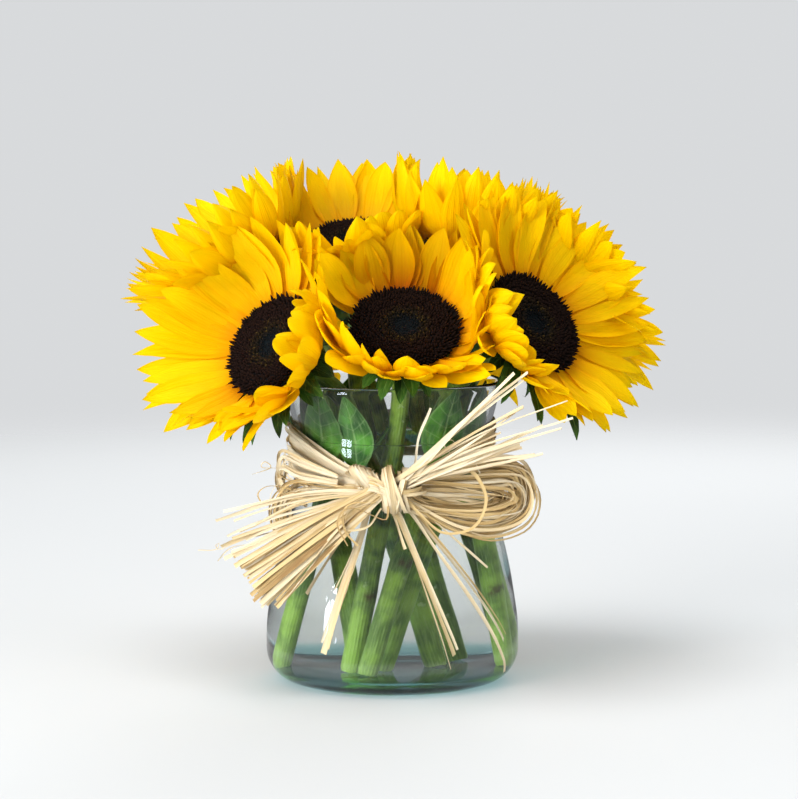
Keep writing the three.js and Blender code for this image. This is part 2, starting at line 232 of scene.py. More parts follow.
class Graph:
    """A node tree, to which nodes are added by type, settings and sockets."""

    def __init__(self, tree: bpy.types.NodeTree) -> None:
        """Hold the tree."""
        self.tree = tree

    def add(self, kind: str, settings: dict | None = None, sockets: dict | None = None) -> bpy.types.Node:
        """Add one node.

        Args:
            kind: The node's type.
            settings: Its settings, which are set first; stops are a ramp's (place, colour) pairs.
            sockets: A value or a term for each input, by name or number.

        Returns:
            The node.
        """
        node = self.tree.nodes.new(kind)
        for name, value in (settings or {}).items():
            if name == "stops":
                self._set_stops(node.color_ramp, value)
            else:
                setattr(node, name, value)
        for key, value in (sockets or {}).items():
            socket = self.socket_of(node.inputs, key)
            if isinstance(value, Term):
                self.tree.links.new(value.socket, socket)
            else:
                socket.default_value = value
        return node

    def take(self, kind: str, settings: dict | None = None, sockets: dict | None = None,
             out: str | int = 0) -> Term:
        """Add one node and wrap one of its outputs, by name or number."""
        return self.get(self.add(kind, settings, sockets), out)

    def get(self, node: bpy.types.Node, name: str | int = 0) -> Term:
        """Wrap a node's output, by name or number."""
        return Term(self, self.socket_of(node.outputs, name))

    @staticmethod
    def _set_stops(ramp: bpy.types.ColorRamp, stops: list[tuple[float, Colour]]) -> None:
        """Give a colour ramp its stops.

        Args:
            ramp: The ramp.
            stops: The place and the colour of each.
        """
        while len(ramp.elements) < len(stops):
            ramp.elements.new(1.0)
        for element, stop in zip(ramp.elements, stops):
            element.position, element.color = stop

    @staticmethod
    def socket_of(sockets: bpy.types.bpy_prop_collection, key: str | int) -> bpy.types.NodeSocket:
        """Find a socket among a node's inputs or outputs, by name if it is in use, or by number."""
        return sockets[key] if isinstance(key, int) else next(
            s for s in sockets if s.enabled and s.name == key)

    def noise(self, vector: Term, scale: Term | float, detail: float = 2.0, roughness: float = 0.5) -> Term:
        """Give soft noise between 0 and 1 at a place."""
        return self.take("ShaderNodeTexNoise", {}, {
            "Vector": vector, "Scale": scale, "Detail": detail, "Roughness": roughness})

    def vector(self, x: Term | float, y: Term | float, z: Term | float) -> Term:
        """Make a vector of three numbers."""
        return self.take("ShaderNodeCombineXYZ", {}, {"X": x, "Y": y, "Z": z})

    def part(self, vector: Term, axis: str) -> Term:
        """Give one of a vector's three numbers."""
        return self.take("ShaderNodeSeparateXYZ", {}, {0: vector}, axis)


class Recipe(Graph):
    """A geometry node tree with named inputs, which is run once on a mesh and leaves a plain mesh."""

    def __init__(self, name: str, inputs: dict[str, str]) -> None:
        """Start the tree.

        Args:
            name: The tree's name.
            inputs: The socket type of each named input, such as Float.
        """
        super().__init__(bpy.data.node_groups.new(name, "GeometryNodeTree"))
        face = self.tree.interface
        face.new_socket("Geometry", in_out="INPUT", socket_type="NodeSocketGeometry")
        face.new_socket("Geometry", in_out="OUTPUT", socket_type="NodeSocketGeometry")
        self.keys = {
            label: face.new_socket(label, in_out="INPUT", socket_type=f"NodeSocket{kind}").identifier
            for label, kind in (inputs | {"Finish": "Material"}).items()}
        self.source = self.tree.nodes.new("NodeGroupInput")

    def given(self, name: str) -> Term:
        """Wrap one of the tree's own inputs."""
        return self.get(self.source, name)

    def named(self, name: str, kind: str = "FLOAT") -> Term:
        """Read an attribute of the geometry by name."""
        return self.take("GeometryNodeInputNamedAttribute", {"data_type": kind}, {"Name": name}, "Attribute")

    def place(self) -> Term:
        """Give each point's position."""
        return self.take("GeometryNodeInputPosition")

    def store(self, geometry: Term, name: str, value: Term | float) -> Term:
        """Keep a number on every point under a name."""
        return self.take("GeometryNodeStoreNamedAttribute", {"data_type": "FLOAT"}, {
            "Geometry": geometry, "Name": name, "Value": value})

    def moved(self, geometry: Term, **sockets: Term) -> Term:
        """Move every point, to a Position or by an Offset."""
        return self.take("GeometryNodeSetPosition", {}, {"Geometry": geometry} | sockets)

    def random(self, low: float | tuple, high: float | tuple, seed: Term | int = 0) -> Term:
        """Give each point a fixed number of its own, or three, between two bounds."""
        kind = "FLOAT_VECTOR" if isinstance(low, tuple) else "FLOAT"
        return self.take("FunctionNodeRandomValue", {"data_type": kind},
                         {"Min": low, "Max": high, "Seed": seed}, "Value")

    def cone(self, sides: int, segments: int, top: float, bottom: float) -> Term:
        """Make a closed cone that is one high and stands on its bottom."""
        return self.take("GeometryNodeMeshCone", {"fill_type": "NGON"}, {
            "Vertices": sides, "Side Segments": segments, "Radius Top": top, "Radius Bottom": bottom,
            "Depth": 1.0})

    def stand(self, skin: Term, points: Term, shape: Term, way: Term, scale: Term) -> None:
        """Stand a shape on every point of a skin, and end the tree with both.

        Args:
            skin: The skin.
            points: The points on it.
            shape: The shape, upright.
            way: The way that it points at each.
            scale: Its size at each.
        """
        turned = self.take("FunctionNodeAlignRotationToVector", {"axis": "Z"}, {"Vector": way})
        copies = self.take("GeometryNodeInstanceOnPoints", {}, {
            "Points": points, "Instance": shape, "Rotation": turned, "Scale": scale})
        joint = self.add("GeometryNodeJoinGeometry")
        for piece in (skin, copies):
            self.tree.links.new(piece.socket, joint.inputs[0])
        self.close(self.get(joint))

    def close(self, geometry: Term) -> None:
        """End the tree: make its instances real, give the finish, and hand the geometry out."""
        real = self.take("GeometryNodeRealizeInstances", {}, {"Geometry": geometry})
        self.add("NodeGroupOutput", {}, {"Geometry": self.take("GeometryNodeSetMaterial", {}, {
            "Geometry": real, "Material": self.given("Finish")})})

    def run(self, mesh: Mesh, finish: Material, values: dict) -> Mesh:
        """Run the tree on a mesh.

        Args:
            mesh: The mesh that it starts from, which is used up.
            finish: The material that it gives.
            values: A value for each named input.

        Returns:
            A plain mesh.
        """
        holder = stood("growing", mesh)
        modifier = holder.modifiers.new("grow", "NODES")
        modifier.node_group = self.tree
        for label, value in (values | {"Finish": finish}).items():
            modifier[self.keys[label]] = value
        grown = bpy.data.meshes.new_from_object(holder.evaluated_get(bpy.context.evaluated_depsgraph_get()))
        holder.modifiers.remove(modifier)
        bpy.data.objects.remove(holder)
        bpy.data.meshes.remove(mesh)
        return grown


# ---------- Paths, and what grows along them ----------

@dataclass
class Path:
    """The middle line of a blade, a fibre or a stalk.

    Attributes:
        points: The places along it, one per row.
        half: Half its width at each.
        facing: The way its broad side faces at each.
        tone: How light it is, from 0 to 1.
        bowl: How strongly it is hollowed, as a share of its shape's hollow.
        scar: How scarred it is, from 0 to 1.
    """

    points: Array
    half: Array | float
    facing: Array
    tone: Array | float = 0.5
    bowl: float = 1.0
    scar: Array | float = 0.0

    def tangents(self) -> Array:
        """Give the way along the path at each place."""
        return unit(np.gradient(self.points, axis=0))

    def turned(self, roll: Array | float = 0.0) -> Path:
        """Square the facing to the path, and turn it about the path.

        Args:
            roll: The turn in degrees, at each place or all along.

        Returns:
            The path itself.
        """
        along = self.tangents()
        straight = unit(self.facing - (self.facing * along).sum(1, keepdims=True) * along)
        turn = np.broadcast_to(np.radians(roll), len(along))[:, None]
        self.facing = np.cos(turn) * straight + np.sin(turn) * np.cross(along, straight)
        return self


def path_mesh(paths: list[Path]) -> Mesh:
    """Lay paths out as rows of edges, with what a recipe reads on their points.

    Args:
        paths: The paths.

    Returns:
        A mesh of points and edges, in metres.
    """
    counts = [len(p.points) for p in paths]
    edges, start = [], 0
    for count in counts:
        edges += [(start + i, start + i + 1) for i in range(count - 1)]
        start += count
    mesh = bpy.data.meshes.new("paths")
    mesh.from_pydata(np.vstack([p.points for p in paths]) * MM, edges, [])
    walks = [walked(p.points) for p in paths]
    columns = {
        "half": [np.broadcast_to(p.half, n) * MM for p, n in zip(paths, counts)],
        "along": [walk / walk[-1] for walk in walks],
        "run": [walk * MM for walk in walks],
        "tone": [np.broadcast_to(p.tone, n) for p, n in zip(paths, counts)],
        "bowl": [np.full(n, p.bowl) for p, n in zip(paths, counts)],
        "scar": [np.broadcast_to(p.scar, n) for p, n in zip(paths, counts)],
        "pick": [np.full(n, (i * GOLDEN_SHARE) % 1.0) for i, n in enumerate(counts)],
    }
    for name, parts in columns.items():
        data = mesh.attributes.new(name, "FLOAT", "POINT").data
        data.foreach_set("value", np.concatenate(parts).astype(np.float32))
    facing = mesh.attributes.new("facing", "FLOAT_VECTOR", "POINT").data
    facing.foreach_set("vector", np.vstack([p.facing for p in paths]).astype(np.float32).ravel())
    return mesh


class BladeRecipe(Recipe):
    """Grows a closed, flat, hollowed and ribbed blade along each path."""

    def __init__(self) -> None:
        """Build the tree."""
        super().__init__("blades along paths", {"Section Points": "Int"} | dict.fromkeys(
            ("Thickness", "Hollow", "Rib Depth", "Rib Turns", "Ripple", "Ripple Scale", "Seed"), "Float"))
        paths = self.take("GeometryNodeMeshToCurve", {}, {"Mesh": self.given("Geometry")})
        faced = self.take("GeometryNodeSetCurveNormal", {"mode": "FREE"}, {
            "Curve": paths, "Normal": self.named("facing", "FLOAT_VECTOR")})
        circle = self.take("GeometryNodeCurvePrimitiveCircle", {}, {
            "Resolution": self.given("Section Points"), "Radius": 1.0})
        side, out = self.part(self.place(), "X"), self.part(self.place(), "Y")
        flat = self.moved(circle, Position=self.vector(side * self.given("Thickness"), out, 0.0))
        marked = self.store(flat, "across", self.part(self.place(), "Y"))
        skin = self.take("GeometryNodeCurveToMesh", {}, {
            "Curve": faced, "Profile Curve": marked, "Scale": self.named("half"), "Fill Caps": True})
        across, half = self.named("across"), self.named("half")
        where = self.vector(self.named("run") * (1 / MM), across * half * (1 / MM),
                            self.named("pick") * 90.0 + self.given("Seed"))
        sway = self.noise(where, self.given("Ripple Scale"), 1.0)
        bowl = across * across * self.given("Hollow") * self.named("bowl")
        ribs = (across * self.given("Rib Turns")).cosine() * self.given("Rib Depth")
        ripple = (sway - 0.5) * self.given("Ripple") * (across * across + 0.15)
        lift = self.take("ShaderNodeVectorMath", {"operation": "SCALE"}, {
            "Vector": self.named("facing", "FLOAT_VECTOR"), "Scale": half * (bowl + ribs + ripple)})
        self.close(self.moved(skin, Offset=lift))


@dataclass(frozen=True)
class BladeShape:
    """How a blade's section looks: sizes are shares of its half width."""

    section_points: int = 8
    thickness: float = 0.03
    hollow: float = 0.2
    rib_depth: float = 0.0
    rib_turns: float = 6.0
    ripple: float = 0.0
    ripple_scale: float = 0.2
    seed: float = 0.0

    def grow(self, recipe: BladeRecipe, paths: list[Path], finish: Material) -> Mesh:
        """Grow blades of this shape.

        Args:
            recipe: The tree that grows them.
            paths: Their middle lines.
            finish: Their material.

        Returns:
            One plain mesh of closed shells.
        """
        mesh = recipe.run(path_mesh(paths), finish, {
            "Section Points": self.section_points, "Thickness": self.thickness, "Hollow": self.hollow,
            "Rib Depth": self.rib_depth, "Rib Turns": self.rib_turns, "Ripple": self.ripple,
            "Ripple Scale": self.ripple_scale, "Seed": self.seed})
        return settled(mesh)


def settled(mesh: Mesh, sharp: float = 55.0) -> Mesh:
    """Turn a mesh's closed shells outwards and shade it smooth but for its sharp edges.

    Args:
        mesh: The mesh.
        sharp: The angle past which an edge stays sharp.

    Returns:
        The mesh itself.
    """
    work = bmesh.new()
    work.from_mesh(mesh)
    bmesh.ops.recalc_face_normals(work, faces=work.faces)
    work.to_mesh(mesh)
    work.free()
    mesh.shade_smooth()
    mesh.set_sharp_from_angle(angle=math.radians(sharp))
    return mesh


def turned_mesh(name: str, outline: Array, facets: int) -> Mesh:
    """Turn an outline about the Z axis.

    Args:
        name: The mesh's name.
        outline: Radius and height of each point, one per row; it starts and ends on the axis.
        facets: How many steps the turn takes.

    Returns:
        A closed mesh, in metres.
    """
    work = bmesh.new()
    steps = np.arange(facets) * 360 / facets
    rings = []
    for radius, height in outline:
        on_axis = radius < 1e-6
        places = [(0.0, 0.0, height * MM)] if on_axis else polar(radius, steps, height) * MM
        rings.append([work.verts.new(place) for place in places])
    for low, high in zip(rings, rings[1:]):
        for k in range(facets):
            n = (k + 1) % facets
            corners = [low[k % len(low)], low[n % len(low)], high[n % len(high)], high[k % len(high)]]
            work.faces.new(list(dict.fromkeys(corners)))
    mesh = bpy.data.meshes.new(name)
    work.to_mesh(mesh)
    work.free()
    return settled(mesh, 50.0)


def joined(meshes: list[Mesh]) -> Mesh:
    """Join meshes into one, keeping their materials and attributes.

    Args:
        meshes: The meshes, which are used up.

    Returns:
        The one mesh.
    """
    parts = [stood("part", mesh) for mesh in meshes]
    with bpy.context.temp_override(active_object=parts[0], object=parts[0], selected_objects=parts,
                                   selected_editable_objects=parts):
        bpy.ops.object.join()
    mesh = parts[0].data
    bpy.data.objects.remove(parts[0])
    return mesh


def show(name: str, mesh: Mesh, slot: str, *nodes: str) -> None:
    """Stand a finished mesh in the scene as a piece of the object.

    Args:
        name: The piece's name.
        mesh: Its mesh, in place.
        slot: Not used.
        nodes: The plain solids that it stands for.
    """
    piece = stood(name, mesh)
    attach(piece, "root")
    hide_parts(*nodes)
    log.info("%s: %d faces", name, len(mesh.polygons))


# ---------- Finishes ----------

class Paint(Graph):
    """A material's shader tree."""

    def __init__(self, name: str) -> None:
        """Start an empty material.

        Args:
            name: The material's name.
        """
        self.material = bpy.data.materials.new(name)
        self.material.use_nodes = True
        super().__init__(self.material.node_tree)
        self.tree.nodes.clear()

    def here(self) -> Term:
        """Give the place on the object, in metres."""
        return self.take("ShaderNodeTexCoord", out="Object")

    def height(self) -> Term:
        """Give the height above the vase's foot, in metres."""
        return self.part(self.here(), "Z")

    def named(self, name: str) -> Term:
        """Read a number kept on the piece's points."""
        return self.take("ShaderNodeAttribute", {"attribute_name": name}, out="Fac")

    def ray(self, kind: str) -> Term:
        """Tell what kind of light is looking, such as Is Shadow Ray."""
        return self.take("ShaderNodeLightPath", out=kind)

    def fibres(self, along: float, across: float, spread: float, roughness: float = 0.5) -> Term:
        """Give noise that is so fine along and across a blade, read so far apart on two blades."""
        return self.noise(self.vector(self.named("run") * along, self.named("across") * across,
                                      self.named("pick") * spread), 1.0, 3.0, roughness)

    def ramp(self, value: Term, stops: list[tuple[float, str]]) -> Term:
        """Turn a number into a colour by a ramp of display colours."""
        return self.take("ShaderNodeValToRGB", {"stops": [(at, tint(code)) for at, code in stops]},
                         {"Fac": value}, "Color")

    def mix(self, share: Term | float, first: Term | str, second: Term | str) -> Term:
        """Mix two colours, each a term or a display colour."""
        first, second = (tint(side) if isinstance(side, str) else side for side in (first, second))
        return self.take("ShaderNodeMix", {"data_type": "RGBA"}, {"Factor": share, "A": first, "B": second},
                         "Result")

    def bump(self, height: Term, depth: float, strength: float = 1.0) -> Term:
        """Give the surface relief, whose depth is in millimetres."""
        return self.take("ShaderNodeBump", {}, {
            "Height": height, "Distance": depth * MM, "Strength": strength}, "Normal")

    def surface(self, **sockets: Term | float | Colour) -> Term:
        """Add the main shader; a socket is named with _ for each space."""
        return self.take("ShaderNodeBsdfPrincipled", {}, {
            name.replace("_", " "): value for name, value in sockets.items()}, "BSDF")

    def let_through(self, kind: str, colour: str) -> Term:
        """Add a shader that lets light through, Translucent or Transparent, in a display colour."""
        return self.take(f"ShaderNodeBsdf{kind}", {}, {"Color": tint(colour)})

    def blend(self, share: Term | float, first: Term, second: Term) -> Term:
        """Mix two shaders."""
        return self.take("ShaderNodeMixShader", {}, {0: share, 1: first, 2: second})

    def done(self, **outputs: Term) -> Material:
        """Send a Surface, and a Volume where there is one, to the output, and give the material."""
        self.add("ShaderNodeOutputMaterial", {}, outputs)
        return self.material


@dataclass(frozen=True)
class PetalFinish:
    """Warm yellow ray petals: orange at the base, partly their own colour and partly painted shade by the disc;
    ribbed along their length, lit through from behind; with painted orange shade along their edges, and painted
    orange-brown shade on petals of low tone.
    """

    base: str = "#e69a06"
    lower: str = "#fdce00"
    middle: str = "#ffe400"
    tip: str = "#ffe900"
    streak: str = "#f3b400"
    warm_patch_and_edge_shade: str = "#f0b000"
    painted_shade_orange: str = "#a24a00"
    fresh: str = "#ffe300"
    glow: str = "#ffe600"
    glow_share: float = 0.56

    def make(self) -> Material:
        """Build the material.

        Returns:
            The material.
        """
        paint = Paint("petal")
        along, across, tone = paint.named("along"), paint.named("across"), paint.named("tone")
        # orange towards the disc: partly the petals' own colour, partly painted shade where the petal bases lie
        # against the disc
        colour = paint.ramp(along, [(0.06, self.base), (0.24, self.lower), (0.46, self.middle),
                                    (1.0, self.tip)])
        streaks = paint.fibres(60.0, 7.0, 40.0)
        patches = paint.noise(paint.here(), 45.0)
        colour = paint.mix((streaks - 0.44) * 0.9 * (1 - along * 0.6), colour, self.streak)
        # painted shade: a warm orange rim along each petal's edges, so that overlapping petals read apart; the
        # warm patches and the fine streaks are the petals' own colour
        edges = across.size().between(0.72, 1.0) * 0.3 + (across * 26.0 + streaks * 4.0).sine() * 0.04
        colour = paint.mix((patches - 0.5).between(0.0, 0.35) * 0.35 + edges, colour, self.warm_patch_and_edge_shade)
        # painted shade: petals of low tone turn orange-brown, most towards their base; this stands for the
        # shade on head 1's upper petals, and a few petals of low random tone take a little of it too
        brown = (1 - tone.between(0.0, 0.45)) * (1 - along * 0.75)
        colour = paint.mix(brown * 0.95, colour, self.painted_shade_orange)
        colour = paint.mix(tone.between(0.4, 1.0) * 0.5, colour, self.fresh)
        veins = (across * 34.0 + streaks * 5.0).sine() * 0.5 + (across * 11.0 + streaks * 2.0).sine()
        body = paint.surface(Base_Color=colour, Roughness=0.55, Specular_IOR_Level=0.12,
                             Normal=paint.bump(veins + streaks * 1.5, 0.15, 0.8))
        return paint.done(Surface=paint.blend(self.glow_share, body,
                                              paint.let_through("Translucent", self.glow)))


@dataclass(frozen=True)
class DiscFinish:
    """Velvety brown-black florets round a blue-black heart, with a ring of pollen specks between."""

    heart: str = "#0a1114"
    ring: str = "#17130a"
    field: str = "#140a07"
    fringe: str = "#0b0604"
    pollen: str = "#6b5620"
    tips: str = "#2c1710"

    def make(self) -> Material:
        """Build the material.

        Returns:
            The material.
        """
        paint = Paint("disc")
        reach, rise = paint.named("reach"), paint.named("rise")
        colour = paint.ramp(reach, [(0.0, self.heart), (0.24, self.heart), (0.36, self.ring),
                                    (0.52, self.field), (0.86, self.field), (1.0, self.fringe)])
        specks = paint.noise(paint.here(), 620.0).between(0.55, 0.72)
        ring = reach.between(0.2, 0.34) * (1 - reach.between(0.4, 0.62))
        colour = paint.mix(specks * ring * rise * 0.75, colour, self.pollen)
        colour = paint.mix(rise.between(0.5, 1.0) * 0.3, colour, self.tips)
        grain = paint.noise(paint.here(), 1400.0)
        return paint.done(Surface=paint.surface(
            Base_Color=colour, Roughness=0.85, Specular_IOR_Level=0.12, Normal=paint.bump(grain, 0.15)))


@dataclass(frozen=True)
class GreenFinish:
    """Stalks, bracts and leaves: green plant skin with paler veins and fine down.

    Attributes:
        deep: Colour of the darker patches.
        fresh: Colour of most of the skin.
        pale: Colour of the veins and of the palest fibres.
        veins: How strongly veins run out from the midrib.
        aged: Whether it is worn low in the vase, scraped and scarred.
        down: How strongly fine down catches the light at its edges.
    """

    name: str
    deep: str
    fresh: str
    pale: str
    veins: float = 0.0
    aged: bool = False
    roughness: float = 0.55
    down: float = 0.0
    worn: str = "#a8c060"
    scraped: str = "#cfd8a6"
    scarred: str = "#4c3616"
    downy: str = "#dfe9c8"

    def make(self) -> Material:
        """Build the material.

        Returns:
            The material.
        """
        paint = Paint(self.name)
        across = paint.named("across")
        patches = paint.noise(paint.here(), 70.0, 3.0)
        fibres = paint.fibres(90.0, 5.0, 30.0)
        colour = paint.mix(patches.between(0.35, 0.65), self.deep, self.fresh)
        colour = paint.mix(fibres.between(0.45, 0.8) * 0.3, colour, self.pale)
        relief = fibres * 0.6 + patches * 0.3
        if self.veins:
            midrib = 1 - across.size().between(0.0, 0.09)
            slant = (paint.named("run") * 900.0 - across.size() * 5.0).sine()
            net = ((slant - 0.86) * 7.0).between(0.0, 1.0)
            colour = paint.mix((midrib * 0.7 + net * 0.35) * self.veins, colour, self.pale)
            colour = paint.mix(across.size().between(0.86, 0.97) * 0.5 * self.veins, colour, self.pale)
            relief = relief - midrib * 1.2 - net * 0.6
        if self.aged:
            low = 1 - paint.height().between(0.012, 0.085)
            colour = paint.mix(low * (0.3 + fibres.between(0.35, 0.7) * 0.25), colour, self.worn)
            scrapes = paint.noise(paint.here(), 210.0, 3.0)
            colour = paint.mix(scrapes.between(0.66, 0.75) * 0.4, colour, self.scraped)
            side = paint.named("scar") * across.between(-0.55, 0.1)
            colour = paint.mix(side * scrapes.between(0.3, 0.55) * 0.95, colour, self.scarred)
            relief = relief + (across * 21.0).sine() * 0.3
        return paint.done(Surface=paint.surface(
            Base_Color=colour, Roughness=self.roughness, Specular_IOR_Level=0.3,
            Sheen_Weight=self.down, Sheen_Roughness=0.45, Sheen_Tint=tint(self.downy),
            Normal=paint.bump(relief, 0.35, 0.7)))


@dataclass(frozen=True)
class RaffiaFinish:
    """Dried palm fibre: matt straw ribbons with fine lengthwise fibres, from brown to nearly white."""

    dark: str = "#74481a"
    straw: str = "#dfc48b"
    pale: str = "#f4ead0"
    glow_share: float = 0.2

    def make(self) -> Material:
        """Build the material.

        Returns:
            The material.
        """
        paint = Paint("raffia")
        fibres = paint.fibres(45.0, 4.0, 70.0, 0.6)
        blotch = paint.noise(paint.here(), 60.0)
        shade = paint.named("tone") + (fibres - 0.5) * 0.55 + (blotch - 0.5) * 0.3
        colour = paint.ramp(shade, [(0.0, self.dark), (0.45, self.straw), (0.95, self.pale)])
        ribs = (paint.named("across") * 9.0).sine() * 0.25
        body = paint.surface(Base_Color=colour, Roughness=0.62, Specular_IOR_Level=0.35,
                             Normal=paint.bump(fibres + ribs, 0.14, 0.8))
        return paint.done(Surface=paint.blend(self.glow_share, body,
                                              paint.let_through("Translucent", self.straw)))


@dataclass(frozen=True)
class ClearFinish:
    """Clear glass or water, which lets light through to what stands in it.

    Attributes:
        colour: The tint of a surface.
        bend: The index of refraction.
        depth_colour: The colour that light takes on its way through.
        depth: How strongly it takes that colour, per metre.
        shade: The tint of a shadow's light.
        foot: The tint of a surface close to the foot: on the glass partly its own colour, and on both a painted
            stand-in for the blue-grey reflections there.
        foot_heights: Between which heights, in metres, that tint gives way.
    """

    name: str
    colour: str
    bend: float
    depth_colour: str
    depth: float
    shade: str
    foot: str
    foot_heights: tuple[float, float] = (0.0085, 0.012)

    def make(self) -> Material:
        """Build the material.

        Returns:
            The material.
        """
        paint = Paint(self.name)
        # painted reflection: near the foot the surface takes a blue-green tint for the blue-grey reflections
        # seen there; on the glass it is partly the thick glass's own tint
        colour = paint.mix(paint.height().between(*self.foot_heights), self.foot, self.colour)
        body = paint.surface(Base_Color=colour, Roughness=0.0, IOR=self.bend, Transmission_Weight=1.0)
        open_way = paint.let_through("Transparent", self.shade)
        soaked = paint.take("ShaderNodeVolumeAbsorption", {}, {
            "Color": tint(self.depth_colour), "Density": self.depth})
        return paint.done(Surface=paint.blend(paint.ray("Is Shadow Ray"), body, open_way), Volume=soaked)


@dataclass(frozen=True)
class FloorFinish:
    """A plain pale mottled floor, which fades away between two distances, in metres."""

    colour: str = "#d2d4d5"
    mottle: str = "#cacdcf"
    fading: tuple[float, float] = (0.5, 1.9)
    mirrored: tuple[float, float] = (0.12, 0.24)

    def make(self) -> Material:
        """Build the material.

        Returns:
            The material.
        """
        paint = Paint("floor")
        colour = paint.mix(paint.noise(paint.here(), 3.0) * 0.15, self.colour, self.mottle)
        body = paint.surface(Base_Color=colour, Roughness=0.8, Specular_IOR_Level=0.2)
        out = paint.take("ShaderNodeVectorMath", {"operation": "LENGTH"}, {0: paint.here()}, "Value")
        share = out.between(*self.fading)
        bounces = paint.ray("Glossy Depth").between(0.0, 1.0)
        gone = share * share * (3 - share * 2) + bounces * out.between(*self.mirrored)
        return paint.done(Surface=paint.blend(gone.between(0.0, 1.0), body,
                                              paint.let_through("Transparent", "#ffffff")))


class Finish(Enum):
    """The finishes of the object's pieces."""

    # the last colour of each is its painted foot tint, which stands in for the reflections at the foot
    GLASS = ClearFinish("glass", "#fdfefe", 1.5, "#78b6bc", 9.5, "#e9f2f3", "#bfe8ec")
    WATER = ClearFinish("water", "#ffffff", 1.33, "#dcece6", 1.5, "#f2f8f6", "#dceaea")
    STEM = GreenFinish("stem", "#3a5a18", "#92b23e", "#d6e49c", aged=True, down=0.5)
    BRACT = GreenFinish("bract", "#1c3a10", "#35601a", "#7c9f48", veins=0.35)
    LEAF = GreenFinish("leaf", "#2a5a14", "#5d9c2a", "#c4dc96", veins=0.4, roughness=0.36, down=0.15)
    DISC = DiscFinish()
    PETAL = PetalFinish()
    RAFFIA = RaffiaFinish()

    @cache
    def material(self) -> Material:
        """Give the finish's material, which is made the first time."""
        return self.value.make()


# ---------- The vase and the water ----------

@dataclass
class Vase:
    """The blown glass vase and the water in it, smooth along the lines of their plain solids."""

    facets: int = 160
    wall: float = 3.0
    floor: float = 8.0
    heel: float = 19.0
    push_up: float = 1.6
    meniscus: float = 1.2
    climb: float = 2.2

    def __post_init__(self) -> None:
        """Read the outside line from the plain glass, and the water's level."""
        corners = plain_corners("vase")
        rings = np.round(np.stack([np.hypot(corners[:, 0], corners[:, 1]), corners[:, 2]], axis=1), 2)
        self.height = float(rings[:, 1].max())
        self.foot_radius = float(rings[rings[:, 1] < 0.1, 0].max())
        heights = [z for z in np.unique(rings[:, 1]) if self.heel - 0.1 < z < self.height - 0.5]
        side = np.array([(rings[rings[:, 1] == z, 0].max(), 0.0, z) for z in heights])
        self.line = smooth_route(side, 140)
        self.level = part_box("water")[1].z / MM

    def radius(self, height: Array | float) -> Array:
        """Give the outside radius at each height.

        Args:
            height: The height, or several.

        Returns:
            The radius at each.
        """
        drop = np.clip((self.heel - np.asarray(height, float)) / self.heel, 0, 1)
        heel = self.foot_radius + (self.line[0, 0] - self.foot_radius) * np.sqrt(1 - drop ** 2)
        return np.where(drop > 0, heel, np.interp(height, self.line[:, 2], self.line[:, 0]))

    def bowl(self, inset: float, floor: float, top: float) -> Array:
        """Draw the line from the axis out along a floor, round the heel and up the side.

        Args:
            inset: The depth inside the outer face.
            floor: The height of the floor.
            top: The height to stop at.

        Returns:
            Radius and height of each point.
        """
        turn = np.radians(np.linspace(0, 90, 15))
        reach = self.line[0, 0] - inset - self.foot_radius
        heel = np.stack([self.foot_radius + reach * np.sin(turn),
                         self.heel - (self.heel - floor) * np.cos(turn)], axis=1)
        heights = np.linspace(self.heel, top, 60)[1:]
        return np.vstack([heel, np.stack([self.radius(heights) - inset, heights], axis=1)])

    def glass(self) -> Array:
        """Draw the outline of the glass, round at the lip and pushed up underneath.

        Returns:
            Radius and height of each point.
        """
        round_lip = self.wall / 2
        lip = self.height - round_lip
        turn = np.radians(np.linspace(0, 180, 11)[1:-1])
        crown = np.stack([self.radius(lip) - round_lip * (1 - np.cos(turn)),
                          lip + round_lip * np.sin(turn)], axis=1)
        under = np.array([(0, 1.0), (0.35, 0.95), (0.6, 0.6), (0.76, 0.2), (0.86, 0.02)])
        return np.vstack([under * (self.foot_radius, self.push_up), self.bowl(0, 0, lip), crown,
                          self.bowl(self.wall, self.floor, lip)[::-1], [(0, self.floor)]])

    def water(self) -> Array:
        """Draw the outline of the water, which runs half-way into the glass to leave no gap.

        Returns:
            Radius and height of each point.
        """
        overlap = self.wall / 2
        rim = self.bowl(overlap, self.floor - overlap, self.level + self.meniscus)
        inwards = np.array([0.0, 1.2, 2.8, 5.5, 10.0])
        top = np.stack([self.radius(self.level) - self.wall - inwards,
                        self.level + self.meniscus * np.exp(-inwards / self.climb)], axis=1)
        return np.vstack([[(0, self.floor - overlap)], rim, top, [(0, self.level)]])

    def build(self) -> None:
        """Build and dress the glass and the water."""
        for name, outline, finish, slot, node in (
                ("vase_glass", self.glass(), Finish.GLASS, "glass", "vase"),
                ("water_fill", self.water(), Finish.WATER, "water", "water")):
            mesh = turned_mesh(name, outline, self.facets)
            mesh.materials.append(finish.material())
            show(name, mesh, slot, node)


# ---------- The flowers ----------

